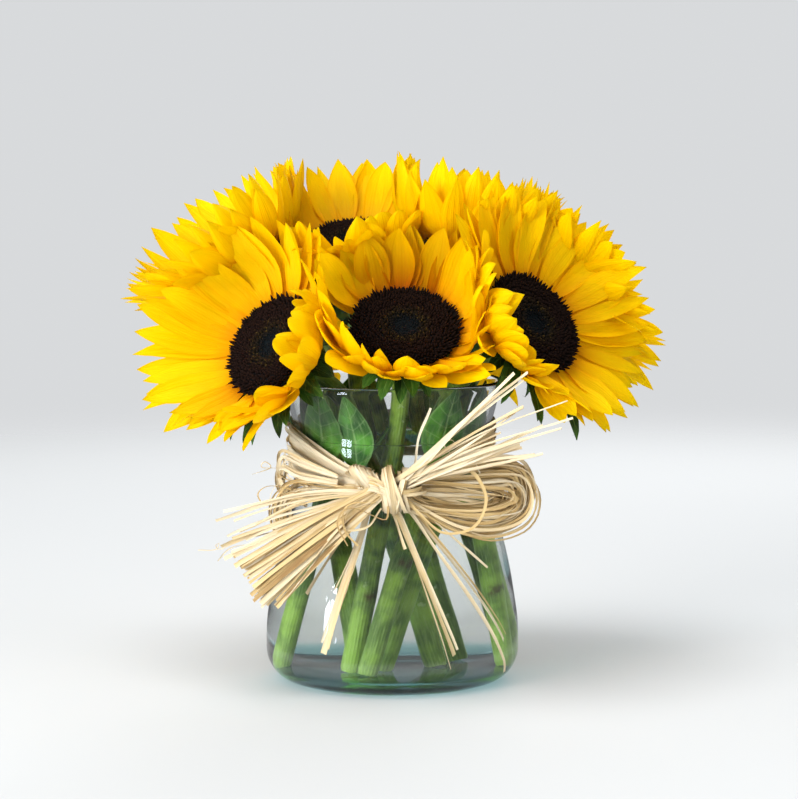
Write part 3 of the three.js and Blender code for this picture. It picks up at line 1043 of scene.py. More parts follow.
class FloretRecipe(Recipe):
    """Covers a head's dome with florets in a golden-angle spiral, taller and wilder towards its edge.

    Attributes:
        crown: Between which shares of its radius the dome falls, and by how much.
        hollow: Between which shares the hollow in its middle rises.
    """

    crown: tuple[float, float, float] = (0.72, 1.0, 0.85)
    hollow: tuple[float, float] = (0.0, 0.45)

    def __init__(self) -> None:
        """Build the tree."""
        super().__init__("florets on a dome", {
            "Count": "Int", "Radius": "Float", "Rise": "Float", "Dip": "Float", "Width": "Float",
            "Length": "Float", "Seed": "Int"})
        count, radius = self.given("Count"), self.given("Radius")
        index = self.take("GeometryNodeInputIndex")
        reach = ((index + 0.5) / count) ** 0.5
        turn = index * GOLDEN_ANGLE
        across = (reach + self.shaken(0.35, 1) * self.given("Width") / radius) * radius
        low, high, fall = self.crown
        height = ((1 - reach.between(low, high) * fall) * self.given("Rise")
                  - (1 - reach.between(*self.hollow)) * self.given("Dip"))
        points = self.take("GeometryNodePoints", {}, {
            "Count": count, "Position": self.vector(turn.cosine() * across, turn.sine() * across, height)})
        points = self.store(points, "reach", reach)
        edge, heart = reach.between(0.8, 1.0), 1 - reach.between(0.1, 0.4)
        rise = self.part(self.place(), "Z")
        bulge = 1 + (rise * math.pi).sine() * 0.5
        bulged = self.place() * self.vector(bulge, bulge, 1.0)
        floret = self.store(self.moved(self.cone(5, 2, 0.12, 0.5), Position=bulged), "rise", rise)
        lean = edge * 0.95 + self.shaken(0.3, 2) - heart * reach * 1.2 + 0.1
        way = self.vector(turn.cosine() * lean, turn.sine() * lean, 1.0 + self.shaken(0.2, 3))
        width = self.given("Width") * (0.9 - heart * 0.35 + self.shaken(0.12, 4))
        length = self.given("Length") * (0.75 + edge * 0.9 - heart * 0.4) * self.random(
            0.6, 1.25, self.step_seed(5))
        self.stand(self.given("Geometry"), points, floret, way, self.vector(width, width, length))

    def step_seed(self, step: int) -> Term:
        """Give a seed of its own to each step of the recipe."""
        return self.given("Seed") + step * 31

    def shaken(self, reach: float, step: int) -> Term:
        """Give each floret a fixed number of its own, up to a reach to either side of 0."""
        return self.random(-reach, reach, self.step_seed(step))


class DownRecipe(Recipe):
    """Scatters fine hairs over a skin and keeps the skin."""

    def __init__(self) -> None:
        """Build the tree."""
        super().__init__("down on a skin", {
            "Density": "Float", "Length": "Float", "Width": "Float", "Seed": "Int"})
        skin = self.given("Geometry")
        spots = self.add("GeometryNodeDistributePointsOnFaces", {}, {
            "Mesh": skin, "Density": self.given("Density"), "Seed": self.given("Seed")})
        way = self.get(spots, "Normal") + self.random((-0.5, -0.5, -0.6), (0.5, 0.5, 0.3))
        size = self.vector(self.given("Width"), self.given("Width"),
                           self.given("Length") * self.random(0.5, 1.3))
        self.stand(skin, self.get(spots, "Points"), self.cone(3, 1, 0.0, 1.0), way, size)


@dataclass
class Workshop:
    """The recipes that the pieces share."""

    blades: BladeRecipe
    florets: FloretRecipe
    down: DownRecipe

    def grow(self, shape: BladeShape, paths: list[Path], finish: Finish) -> Mesh:
        """Grow blades in a finish."""
        return shape.grow(self.blades, paths, finish.material())

    def downy(self, mesh: Mesh, finish: Finish, density: float, length: float, width: float,
              seed: int) -> Mesh:
        """Grow hairs on a mesh, so many to the square metre."""
        grown = self.down.run(mesh, finish.material(), {
            "Density": density, "Length": length * MM, "Width": width * MM, "Seed": seed})
        return settled(grown)


@dataclass
class HeadPose:
    """Where one flower head sits and faces, read from its plain disc.

    Attributes:
        at: The middle of the disc's plane.
        axis: The way that it faces.
        radius: The disc's radius.
    """

    at: Array
    axis: Array
    radius: float

    @classmethod
    def read(cls, number: int, back: float = -1.5, middle_height: float = 130.0) -> HeadPose:
        """Read a head's pose.

        Args:
            number: The head's number.
            back: The height of the plain disc's back from the disc's plane.
            middle_height: The height of the bunch's middle, which every head faces away from.

        Returns:
            Its pose.
        """
        corners = np.unique(np.round(plain_corners(f"disc_{number}") * MM, 7), axis=0) / MM
        middle = corners.mean(axis=0)
        values, ways = np.linalg.eigh(np.cov((corners - middle).T))
        axis = ways[:, int(values.argmin())]
        axis = axis * np.sign(axis @ (middle - np.array([0.0, 0.0, middle_height])))
        heights = (corners - middle) @ axis
        at = middle + axis * (heights.min() - back)
        off = (corners - at) - np.outer((corners - at) @ axis, axis)
        return cls(at, axis, float(np.linalg.norm(off, axis=1).max()))

    def turn(self) -> Matrix:
        """Give the matrix that stands a head's own mesh in place, in metres."""
        spin = Vector((0, 0, 1)).rotation_difference(Vector(self.axis)).to_matrix().to_4x4()
        return Matrix.Translation(Vector(self.at) * MM) @ spin

    def outwards(self, azimuth: Array) -> Array:
        """Give the ways that run out across the disc.

        Args:
            azimuth: Angles round it, from its level side.

        Returns:
            A direction for each.
        """
        steep = abs(self.axis[2]) >= 0.999
        level = np.array([1.0, 0, 0]) if steep else unit(np.cross([0.0, 0.0, 1.0], self.axis))
        turn = np.radians(azimuth)[:, None]
        return np.cos(turn) * level + np.sin(turn) * np.cross(self.axis, level)

    def bent_line(self, start: tuple[float, float], out: Array, angle: Array, steps: Array | float,
                  sag: Array | float = 0.0) -> tuple[Array, Array]:
        """Draw a line that leaves the head outwards and turns up or down as it goes.

        Args:
            start: How far out it starts, and how far above the disc's plane.
            out: The way outwards at each step.
            angle: How steeply each step rises.
            steps: The length of each step.
            sag: How much each step is pulled down.

        Returns:
            Its points, and the way that its upper side faces at each.
        """
        rise = np.radians(angle)[:, None]
        ways = np.cos(rise) * out + np.sin(rise) * self.axis
        ways[:, 2] -= sag
        base = self.at + out[0] * start[0] + self.axis * start[1]
        walk = np.cumsum(unit(ways) * np.broadcast_to(steps, len(ways))[:, None], axis=0)
        upper = np.cos(rise) * self.axis - np.sin(rise) * out
        return np.vstack([base, base + walk]), np.vstack([upper, upper[-1:]])


@dataclass(frozen=True)
class Tuft:
    """A stretch of a head's rim where the petals grow in their own way.

    Attributes:
        azimuth: Its middle, as an angle round the disc from the level side.
        spread: The angle that it reaches to each side.
        lift: How much more its petals rise.
        curl: How much more their tips bend in.
        length: How much longer they are, as a share.
        girth: How much wider they are, as a share.
        tone: How much lighter they are; where it is negative, how much painted orange-brown shade they take.
        wild: How much more unevenly they rise.
        sparse: The share of them that is missing.
        blunt: How rounded their ends are, from 0 to 1.
    """

    azimuth: float
    spread: float
    lift: float = 0.0
    curl: float = 0.0
    length: float = 0.0
    girth: float = 0.0
    tone: float = 0.0
    wild: float = 0.0
    sparse: float = 0.0
    blunt: float = 0.0


@dataclass(frozen=True)
class HeadHabit:
    """How one head carries its petals.

    Attributes:
        number: The head's number.
        cup: The angle at which its petals rise from the disc's plane.
        length: Their length.
        half_width: Half their greatest width.
        count: How many there are, in three rows.
        droop: How strongly their tips sag.
        crowd: How far they may reach past the plane half-way to a neighbour.
        curl: How far their tips bend in, or back where it is negative.
        bracts: How much longer the bracts are on the low side, as a share.
        seed: The start of its random source.
        tufts: The stretches where they grow in their own way.
    """

    number: int
    cup: float
    length: float
    half_width: float = 7.4
    count: int = 69
    droop: float = 0.12
    crowd: float = 8.0
    curl: float = 8.0
    bracts: float = 0.0
    seed: int = 40
    tufts: tuple[Tuft, ...] = ()

    def extra(self, azimuth: float) -> Tuft:
        """Sum what the tufts add at one place of the rim.

        Args:
            azimuth: The place.

        Returns:
            The sum, as a tuft that reaches no further.
        """
        shares = [float(swell((azimuth - tuft.azimuth + 180) % 360 - 180, 0, tuft.spread))
                  for tuft in self.tufts]
        qualities = ("lift", "curl", "length", "girth", "tone", "wild", "sparse", "blunt")
        return Tuft(azimuth, 0.0, *(
            sum(share * getattr(tuft, quality) for share, tuft in zip(shares, self.tufts))
            for quality in qualities))


@dataclass(frozen=True)
class BractRow:
    """One row of bracts, which starts so far out from the head's axis, or in from the disc's edge where
    out is negative; it is turned by its offset, as a share of a step."""

    count: int
    out: float
    height: float
    angle: float
    length: float
    half_width: float
    offset: float = 0.0


@dataclass
class FlowerHead:
    """One sunflower head: its disc, its three rows of petals and its green cup."""

    habit: HeadHabit
    shop: Workshop
    poses: dict[int, HeadPose]
    florets: int = 1250
    margin: float = 3.0
    dome_rise: float = 3.2
    dome_dip: float = 1.8
    floret_width: float = 2.1
    floret_length: float = 2.6
    stalk_top: float = -24.4
    steepest: float = 112.0
    lift_step: float = 5.0
    bract_rows: tuple[BractRow, ...] = (
        BractRow(13, -9, -7.5, -2, 25, 7.2), BractRow(13, -14, -10.5, -12, 22, 6.4, 0.5),
        BractRow(9, 15, -15.5, -30, 15, 4.6))

    def __post_init__(self) -> None:
        """Settle the head's pose and its own random source."""
        self.pose = self.poses[self.habit.number]
        self.random = np.random.default_rng(self.habit.seed + self.habit.number)

    def build(self) -> None:
        """Build and dress the disc, the petals and the calyx."""
        n = self.habit.number
        show(f"disc_florets_{n}", self.disc(), "disc", f"disc_{n}")
        petal = BladeShape(section_points=16, thickness=0.032, rib_depth=0.045, rib_turns=6.3,
                           ripple=0.34, ripple_scale=0.09, seed=float(n))
        petals = self.shop.grow(petal, self.petals(), Finish.PETAL)
        show(f"ray_petals_{n}", petals, "petal", f"petals_{n}")
        show(f"calyx_bracts_{n}", self.calyx(), "calyx", f"calyx_{n}")

    def disc(self) -> Mesh:
        """Grow the florets on the disc's dome.

        Returns:
            The dome and its florets, in place.
        """
        radius, underside = self.pose.radius - self.margin, -3.8
        shares = np.array([0.0, 0.2, 0.4, 0.6, 0.75, 0.85, 0.93, 1.0])
        low, high, fall = FloretRecipe.crown
        heights = (self.dome_rise * (1 - fall * ease(low, high, shares))
                   - self.dome_dip * (1 - ease(*FloretRecipe.hollow, shares)))
        outline = np.vstack([np.stack([shares * (radius - 0.6), heights], axis=1),
                             [(radius - 1.0, underside), (0, underside)]])
        mesh = self.shop.florets.run(turned_mesh("dome", outline, 48), Finish.DISC.material(), {
            "Count": self.florets, "Radius": (radius - 0.8) * MM, "Rise": self.dome_rise * MM,
            "Dip": self.dome_dip * MM, "Width": self.floret_width * MM, "Length": self.floret_length * MM,
            "Seed": self.habit.number})
        mesh.transform(self.pose.turn())
        return settled(mesh, 80.0)

    def own_space(self, points: Array, crowd: float) -> bool:
        """Tell whether points stay on this head's side of every plane between heads.

        Args:
            points: The points.
            crowd: How far they may reach past it.

        Returns:
            Whether they do.
        """
        for number, other in self.poses.items():
            way = other.at - self.pose.at
            reach = np.linalg.norm(way) / 2 + crowd
            if number != self.habit.number and ((points - self.pose.at) @ unit(way)).max() > reach:
                return False
        return True

    def petal(self, azimuth: float, lift: float, length: float, row: int, nature: Array) -> Path:
        """Draw one petal's middle line.

        Args:
            azimuth: Where it sits round the disc.
            lift: How far it rises from the disc's plane.
            length: Its length.
            row: 0 for the front row, up to 2 for the back row.
            nature: Its own sway, curl, twist, width and pointedness, each about 0.

        Returns:
            The path.
        """
        sway, curl, twist, girth, point = nature
        more = self.habit.extra(azimuth)
        s = np.array([0, .05, .13, .23, .35, .47, .59, .7, .8, .88, .945, .985, 1.0])
        mid = (s[1:] + s[:-1]) / 2
        bend = self.habit.curl + more.curl + 18 * curl
        angle = lift * (0.3 + 0.75 * ease(0, 0.55, mid)) + bend * mid ** 2.5
        points, facing = self.pose.bent_line(
            (self.pose.radius - self.margin - 0.8, -1.6 - 1.5 * row),
            self.pose.outwards(azimuth + sway * 9 * mid ** 1.5), angle, np.diff(s) * length,
            self.habit.droop * (1 + abs(curl)) * mid ** 2)
        blunt = min(more.blunt, 1.0)
        near, far = np.clip(s / 0.5, 0, 1), np.clip((s - 0.5) / 0.5, 0, 1)
        width = 0.36 + 0.64 * np.sin(near * np.pi / 2)
        width = width * (1 - far ** (1.9 + 0.45 * point + 3 * blunt)) ** (0.9 - 0.35 * blunt)
        half = np.maximum(self.habit.half_width * (1 + 0.17 * girth + more.girth) * width, 0.25)
        tone = float(np.clip(0.55 + 0.12 * girth + 0.12 * point + more.tone, 0, 1))
        path = Path(points, half, facing, tone, bowl=1 + 0.7 * curl)
        return path.turned(10 * twist + (18 * sway - 14 * twist) * s)

    def petals(self) -> list[Path]:
        """Set the petals round the disc, each raised until it has room, and then shortened.

        Returns:
            Their paths.
        """
        placed = []
        for i in range(self.habit.count):
            row = i * 2 % 3
            azimuth = (i + 0.35 * self.random.normal()) * 360 / self.habit.count
            nature = np.clip(self.random.normal(size=5), -1.8, 1.8)
            more = self.habit.extra(azimuth)
            length = self.habit.length * (1 + 0.05 * self.random.normal() + 0.02 * row + more.length)
            start = self.habit.cup + more.lift - 7 * row + (5 + more.wild) * self.random.normal()
            if self.random.random() >= more.sparse:
                placed.append(self.fitted(azimuth, start, length, row, nature))
        return [path for path in placed if path is not None]

    def fitted(self, azimuth: float, start: float, length: float, row: int, nature: Array) -> Path | None:
        """Raise a petal from its start, then shorten it, until it keeps to its own space.

        Args:
            azimuth: Where it sits round the disc.
            start: The least it may rise.
            length: Its full length.
            row: Its row.
            nature: Its nature, as petal() takes it.

        Returns:
            The path, or nothing where there is no room.
        """
        crowd = self.habit.crowd + 1.5 * nature[1]
        for share in (1.0, 0.92, 0.84, 0.76, 0.68, 0.6):
            for lift in np.arange(start, self.steepest, self.lift_step):
                path = self.petal(azimuth, lift, length * share, row, nature)
                side = np.cross(path.tangents(), path.facing) * path.half[:, None]
                if self.own_space(np.vstack([path.points, path.points + side, path.points - side]), crowd):
                    return path
        return None

    def calyx(self) -> Mesh:
        """Grow the cup behind the petals and its rows of pointed bracts.

        Returns:
            The one mesh.
        """
        r, top = self.pose.radius, -2.8
        line = smooth_route([(5.4, 0, self.stalk_top), (8, 0, -22), (12, 0, -17.5), (20, 0, -11.5),
                             (r - 4, 0, -5.5), (r - 1, 0, -3.2)], 16)
        outline = np.vstack([[(0, self.stalk_top)], line[:, [0, 2]], [(r - 2, top), (0, top)]])
        cup = turned_mesh("cup", outline, 40)
        cup.transform(self.pose.turn())
        cup.materials.append(Finish.BRACT.material())
        shape = BladeShape(section_points=10, thickness=0.09, hollow=0.22, rib_depth=0.03, ripple=0.35,
                           seed=3.0)
        paths = [path for row in self.bract_rows for path in self.bracts(row)]
        bracts = self.shop.downy(self.shop.grow(shape, paths, Finish.BRACT), Finish.BRACT,
                                 90000.0, 1.5, 0.1, self.habit.number)
        return joined([cup, bracts])

    def bracts(self, row: BractRow) -> list[Path]:
        """Draw one row of bracts, leaving out those that have no room.

        Args:
            row: The row.

        Returns:
            Their paths.
        """
        s = np.linspace(0, 1, 10)
        mid = (s[1:] + s[:-1]) / 2
        out = row.out if row.out > 0 else self.pose.radius + row.out
        width = row.half_width * (1 - s) ** 0.75 * (0.75 + 0.7 * s) + 0.2
        paths = []
        for i in range(row.count):
            sway, curl, girth = np.clip(self.random.normal(size=3), -1.7, 1.7)
            azimuth = (i + row.offset + 0.12 * sway) * 360 / row.count
            low = max(0.0, -math.sin(math.radians(azimuth))) ** 3 * self.habit.bracts
            length = row.length * (1 + 0.1 * girth + low)
            angle = row.angle - (26 + 20 * curl) * mid ** 1.5 + 12 * (1 - mid)
            points, facing = self.pose.bent_line(
                (out, row.height), self.pose.outwards(np.full(len(mid), azimuth)), angle, length / len(mid))
            if self.own_space(points, -2.0):
                paths.append(Path(points, width, facing, 0.5 + 0.2 * girth).turned(12 * sway * s))
        return paths


@dataclass
class Stem:
    """One stalk, straight from its cut end to the neck of the vase and then bent to its head."""

    number: int
    shop: Workshop
    pose: HeadPose
    radius: float = 5.3
    straight_top: float = 140.0
    neck_level: float = 150.0
    bend: float = 0.38
    head_depth: float = 24.3
    scar_heights: tuple[float, float] = (30.0, 112.0)

    def route(self) -> tuple[Array, Array]:
        """Find where the straight part starts and ends on the plain stem's middle line.

        Returns:
            Its foot, and the place where it starts to bend.
        """
        corners = plain_corners(f"stem_{self.number}")
        low = corners[corners[:, 2] < self.straight_top]
        slopes = [np.polyfit(low[:, 2], low[:, k], 1) for k in (0, 1)]
        foot, neck = (np.array([np.polyval(line, z) for line in slopes] + [z])
                      for z in (corners[:, 2].min(), self.neck_level))
        return foot, neck

    def path(self) -> Path:
        """Draw the stalk's middle line, thicker at its scar and below its head.

        Returns:
            The path.
        """
        foot, neck = self.route()
        top = self.pose.at - self.pose.axis * self.head_depth
        reach = np.linalg.norm(top - neck) * self.bend
        leave, arrive = neck + unit(neck - foot) * reach, top - self.pose.axis * reach
        t = np.linspace(0, 1, 28)[1:, None]
        bend = ((1 - t) ** 3 * neck + 3 * (1 - t) ** 2 * t * leave
                + 3 * (1 - t) * t ** 2 * arrive + t ** 3 * top)
        points = np.vstack([foot + (neck - foot) * np.linspace(0, 1, 64)[:, None], bend])
        heights = points[:, 2]
        scar = np.random.default_rng(70 + self.number).uniform(*self.scar_heights)
        half = self.radius * (0.97 + 0.05 * swell(heights, scar, 7)
                              + 0.02 * np.sin(heights / 17 + self.number))
        half = half * (1 + 0.16 * ease(-22, 0, heights - top[2]))
        half[0] *= 0.9
        facing = np.tile([0.0, -1.0, 0.0], (len(points), 1))
        scars = swell(heights, scar, 2.6) * (heights < neck[2])
        return Path(points, half, facing, scar=scars).turned()

    def build(self) -> None:
        """Build and dress the stalk with its scar and down."""
        shape = BladeShape(section_points=24, thickness=0.96, hollow=0.0, ripple=0.05, ripple_scale=0.3,
                           seed=float(self.number))
        stalk = self.shop.grow(shape, [self.path()], Finish.STEM)
        downy = self.shop.downy(stalk, Finish.STEM, 110000.0, 1.1, 0.07, self.number)
        show(f"stalk_{self.number}", downy, "stem", f"stem_{self.number}")


@dataclass
class NeckLeaf:
    """A leaf pressed against the inside of the vase's neck, on its stalk."""

    number: int
    shop: Workshop
    vase: Vase
    grow: float = 1.35
    reach: tuple[float, float] = (17.0, 1.0)
    gap: float = 1.6
    neck_radius: float = 52.0
    stalk_radius: float = 1.3

    def blade(self, corners: Array) -> Path:
        """Draw the blade's middle line up the inside of the glass.

        Args:
            corners: The plain leaf's corners.

        Returns:
            The path.
        """
        gap = self.vase.radius(corners[:, 2]) - self.vase.wall - np.hypot(corners[:, 0], corners[:, 1])
        blade = corners[(gap < 4.0) & (corners[:, 2] > 141)]
        angles = np.degrees(np.arctan2(blade[:, 1], blade[:, 0]))
        middle = math.degrees(math.atan2(blade[:, 1].mean(), blade[:, 0].mean()))
        off = (angles - middle + 180) % 360 - 180
        low, high = blade[:, 2].min() - self.reach[0], blade[:, 2].max() + self.reach[1]
        spread = np.radians(np.abs(off).max()) * self.neck_radius * self.grow
        s = np.linspace(0, 1, 18)
        heights = low + (high - low) * s
        around = middle + (5 if self.number % 2 else -5) * s ** 2
        points = polar(self.vase.radius(heights) - self.vase.wall - self.gap, around, heights)
        oval = np.sin(np.pi * np.clip(s * 0.93 + 0.05, 0, 1)) ** 0.8 * (1.05 - 0.45 * s)
        return Path(points, np.maximum(spread * oval, 0.4), -polar(1.0, around, 0.0)).turned()

    def build(self) -> None:
        """Build the blade with its midrib and veins, and the stalk that it hangs on."""
        corners = plain_corners(f"leaf_{self.number}")
        leaf = self.blade(corners)
        root = corners[np.argmin(np.hypot(corners[:, 0], corners[:, 1]))]
        start = leaf.points[0]
        route = smooth_route([start, start * 0.6 + root * 0.4 + (0, 0, -1), root], 10)
        stalk = Path(route, self.stalk_radius, np.tile([0.0, 0.0, 1.0], (len(route), 1))).turned()
        flat = BladeShape(section_points=20, hollow=0.11, rib_depth=0.02, rib_turns=9.0, ripple=0.12,
                          seed=float(self.number))
        mesh = joined([self.shop.grow(flat, [leaf], Finish.LEAF),
                       self.shop.grow(BladeShape(thickness=0.9, hollow=0.0), [stalk], Finish.LEAF)])
        show(f"neck_leaf_{self.number}", mesh, "leaf", f"leaf_{self.number}")


# ---------- The raffia bow ----------

class Shade(Enum):
    """How light a bundle of raffia is: its mean tone and its spread."""

    WHITE = (0.86, 0.2)
    STRAW = (0.68, 0.22)
    TAN = (0.52, 0.18)
    BROWN = (0.33, 0.18)


WHITE, STRAW, TAN, BROWN = Shade


@dataclass(frozen=True)
class Loop:
    """One loop of the bow: its two ends, across and forward, its outline and the middle of its eye, as
    shares of the way out and heights, and how far its fibres stray."""

    start: tuple[float, float]
    end: tuple[float, float]
    outline: tuple[tuple[float, float], ...]
    eye: tuple[float, float]
    wander: float

    def place(self, share: float, depth: float) -> Array:
        """Give the place at a share of the way out, so far in front of the loop's plane."""
        start, way = np.array(self.start), np.array(self.end) - self.start
        return start + way * share + unit(np.array([way[1], -way[0]])) * depth


@dataclass
class RaffiaBow:
    """The raffia: a band round the neck, a knot, two loops, two fans of tails and hanging strands."""

    shop: Workshop
    vase: Vase
    band_layer: int = 26
    band_half: tuple[float, float] = (11.0, 4.5)
    band_levels: tuple[float, float] = (137.0, 18.0)
    right: Loop = Loop((5.0, -67.5), (77.0, -46.0), (
        (0.14, 121.5), (0.38, 127), (0.66, 131), (0.9, 128), (1.0, 116), (0.97, 103), (0.84, 95),
        (0.6, 92), (0.34, 98), (0.14, 108)), (0.78, 111.5), 1.3)
    left: Loop = Loop((-16.0, -65.5), (-66.0, -42.0), (
        (0.0, 116), (0.2, 117), (0.45, 118), (0.75, 117), (0.95, 110), (1.0, 98), (0.88, 87), (0.62, 87),
        (0.34, 99), (0.12, 109), (0.0, 113)), (0.72, 103), 1.6)
    hang_level: float = 112.0
    hang_out: float = 74.0

    def __post_init__(self) -> None:
        """Start the bow's own random source, and settle how a ribbon looks."""
        self.random = np.random.default_rng(11)
        self.ribbon = BladeShape(thickness=0.11, hollow=0.35, rib_depth=0.06, ripple=0.5,
                                 ripple_scale=0.16, seed=5.0)

    def build(self) -> None:
        """Build every bundle."""
        for name, bundle, node in (
                ("wrap", self.band, "band"), ("tie", self.tie, "knot"),
                ("bow_right", self.right_loop, "loop_right"), ("bow_left", self.left_loop, "loop_left"),
                ("fan_left", self.left_fan, "tails_left"), ("fan_right", self.right_fan, "tails_right")):
            self.show(f"raffia_{name}", bundle(), f"raffia_{node}")
        for side, strands in zip(("left", "right"), self.hanging()):
            self.show(f"raffia_hanging_{side}", strands, *(f"raffia_strand_{side}_{n}" for n in (1, 2)))

    def show(self, name: str, paths: list[Path], *nodes: str) -> None:
        """Grow a bundle and stand it in the scene."""
        show(name, self.shop.grow(self.ribbon, paths, Finish.RAFFIA), "raffia", *nodes)

    def about(self, middle: float, spread: float) -> float:
        """Draw a number about a middle value."""
        return middle + spread * self.random.normal()

    def tone(self, shade: Shade) -> float:
        """Pick a fibre's tone from a shade."""
        mean, spread = shade.value
        return float(np.clip(self.random.normal(mean, spread * 0.6), 0.05, 1.0))

    def fibre(self, points: Array | list, half: float, shade: Shade, wander: float = 0.6,
              roll: float = 35.0, count: int = 26, taper: bool = False, facing: Array | None = None) -> Path:
        """Draw one fibre through a few points.

        Args:
            points: The points that it passes.
            half: Half its width.
            shade: How light it is.
            wander: How far it strays sideways.
            roll: How far it turns about itself.
            count: How many places it is drawn with.
            taper: Whether its far end thins out.
            facing: The way its broad side faces, or nothing for the front.

        Returns:
            The path.
        """
        line = smooth_route(points, count)
        s = np.linspace(0, 1, count)
        phases = self.random.uniform(0, 2 * np.pi, (3, 3))
        waves = self.random.uniform(2.0, 7.0, (3, 3))
        drift = sum(np.sin(s[:, None] * waves[k] + phases[k]) / (k + 1) for k in range(3))
        line = line + (drift - drift[0]) * wander * ease(0, 0.25, s)[:, None]
        broad = np.tile([0.1, -0.95, 0.3], (count, 1)) if facing is None else facing
        width = half * (1 + 0.15 * np.sin(s * 9 + phases[0, 0])) * (1 - (0.75 * s ** 3 if taper else 0))
        turn = roll * (self.about(0, 0.5) + self.random.normal() * s + 0.4 * np.sin(s * 7 + phases[1, 1]))
        return Path(line, width, broad, self.tone(shade)).turned(turn)

    def band(self) -> list[Path]:
        """Wind the fibres round the neck, gathered low into the knot in front.

        Returns:
            Their paths.
        """
        paths = []
        for i in range(2 * self.band_layer):
            place = (i % self.band_layer + 0.5) / (self.band_layer / 2) - 1
            offset = float(np.clip(place + 0.06 * self.random.normal(), -1, 1))
            layer = 0.9 + 2.4 * self.random.random() * math.sqrt(max(0.0, 1 - offset ** 2))
            angle = np.linspace(-93 + 4 * self.random.random(), 273 - 4 * self.random.random(), 84)
            turn = np.radians(angle)
            front = ((1 - np.sin(turn)) / 2) ** 6
            left, right = swell(angle, 215, 42), swell(angle, -25, 40)
            middle = self.band_levels[0] - self.band_levels[1] * front - 4 * left + 2 * right
            half = (self.band_half[0] + 4.5 * left - 3.5 * right) * (1 - front) + self.band_half[1] * front
            stray = 0.8 * np.sin(turn * self.random.uniform(1.5, 4) + self.random.uniform(0, 6.3))
            z = middle + offset * half + stray * (1 - front)
            out = layer + 0.6 * np.sin(turn * 3 + i) * (1 - front) + 5.5 * front ** 3
            out = out + left * max(0.0, self.random.normal() - 0.9) * 5
            # painted light and shade: fibres are lighter on the left of the band, where it lies in the petals'
            # shade, and darker on the right, where the band is in shade
            tone = np.clip(self.tone(STRAW) + 0.45 * swell(angle, 225, 42) - 0.14 * right, 0, 1)
            path = Path(polar(self.vase.radius(z) + out, angle, z), self.random.uniform(0.8, 1.9),
                        polar(1.0, angle, 0.15), tone)
            paths.append(path.turned(self.about(0, 14) + 16 * np.sin(turn * 2.3 + i)))
        return paths

    def turn_round(self, middle: Array, along: Array, tall: float, deep: float, share: float,
                   start: float, shade: Shade, half: float) -> Path:
        """Wrap one fibre round a bundle.

        Args:
            middle: The middle of the turn.
            along: The way and the distance that it creeps along the bundle.
            tall: Half its height.
            deep: Half its depth.
            share: How much of a whole turn it makes.
            start: The angle at which it starts.
            shade: How light it is.
            half: Half the fibre's width.

        Returns:
            The path.
        """
        turn = np.radians(start + np.linspace(0, 360 * share, 34))
        up = unit(np.cross(along, [0.0, 1.0, 0.0]))
        up = up * (1 if up[2] > 0 else -1)
        out = np.cos(turn)[:, None] * np.array([0.0, -deep, 0.0]) + np.sin(turn)[:, None] * up * tall
        creep = np.linspace(-0.5, 0.5, len(turn))[:, None] * along
        return Path(middle + out + creep, half, unit(out), self.tone(shade)).turned(self.about(0, 16))

    def tie(self) -> list[Path]:
        """Draw the knot: upright turns over the middle, slanting turns beside it, and a few across.

        Returns:
            Their paths.
        """
        paths = []
        upright, slanting, across = 20, 16, 5
        for i in range(upright):
            share = i / (upright - 1)
            middle = np.array([1.2 + 6.6 * (share * 2 - 1), -68.5, 117.8 - 0.25 * abs(i - upright / 2)])
            swollen = self.about(1 - 0.22 * (share * 2 - 1) ** 2, 0.03)
            along = np.array([self.about(1.5, 1.6), 0.0, 0.5])
            paths.append(self.turn_round(middle, along, 13.2 * swollen, 11.5 * swollen, 1.02, 150,
                                         STRAW, self.random.uniform(0.8, 1.4)))
        for i in range(slanting):
            share = i / (slanting - 1)
            middle = np.array([-7.5 - 13 * share, -67.0 + 2.2 * share, 120.0 + 3.2 * share])
            swollen = math.sqrt(1 - (0.62 * (share * 1.9 - 0.8)) ** 2) * self.about(1, 0.04)
            paths.append(self.turn_round(middle, np.array([3.4, 0.0, 3.0]), 8.6 * swollen, 7.6 * swollen,
                                         1.0, 120, WHITE, self.random.uniform(0.8, 1.5)))
        for _ in range(across):
            wide = self.about(0, 3.0)
            points = [(-20, -64, 121 + wide), (-12, -74, 122 + wide * 0.7), (-3, -77.5, 119 + wide * 0.5),
                      (6, -75, 117 + wide * 0.6), (12, -66, 116 + wide)]
            paths.append(self.fibre(points, 1.0, STRAW, wander=0.2))
        return paths

    def looped(self, loop: Loop, outline: tuple, scale: float, depth: float, half: float,
               shade: Shade) -> Path:
        """Draw one fibre of a loop of the bow.

        Args:
            loop: The loop.
            outline: The line that it follows, as the loop's own is given.
            scale: How far out from the eye it runs, as a share of the outline.
            depth: How far in front of the loop's plane its far end is.
            half: Half its width.
            shade: How light it is.

        Returns:
            The path.
        """
        places = []
        for share, height in outline:
            free = float(ease(0.0, 0.55, share))
            if share > 0.3:
                kept = 1 - free * (1 - scale)
                height = loop.eye[1] + (height - loop.eye[1]) * kept
                share = loop.eye[0] + (share - loop.eye[0]) * kept
            places.append((*loop.place(share, depth * (0.25 + 0.75 * free)), self.about(height, 0.8)))
        return self.fibre(places, half, shade, loop.wander, roll=55, count=44)

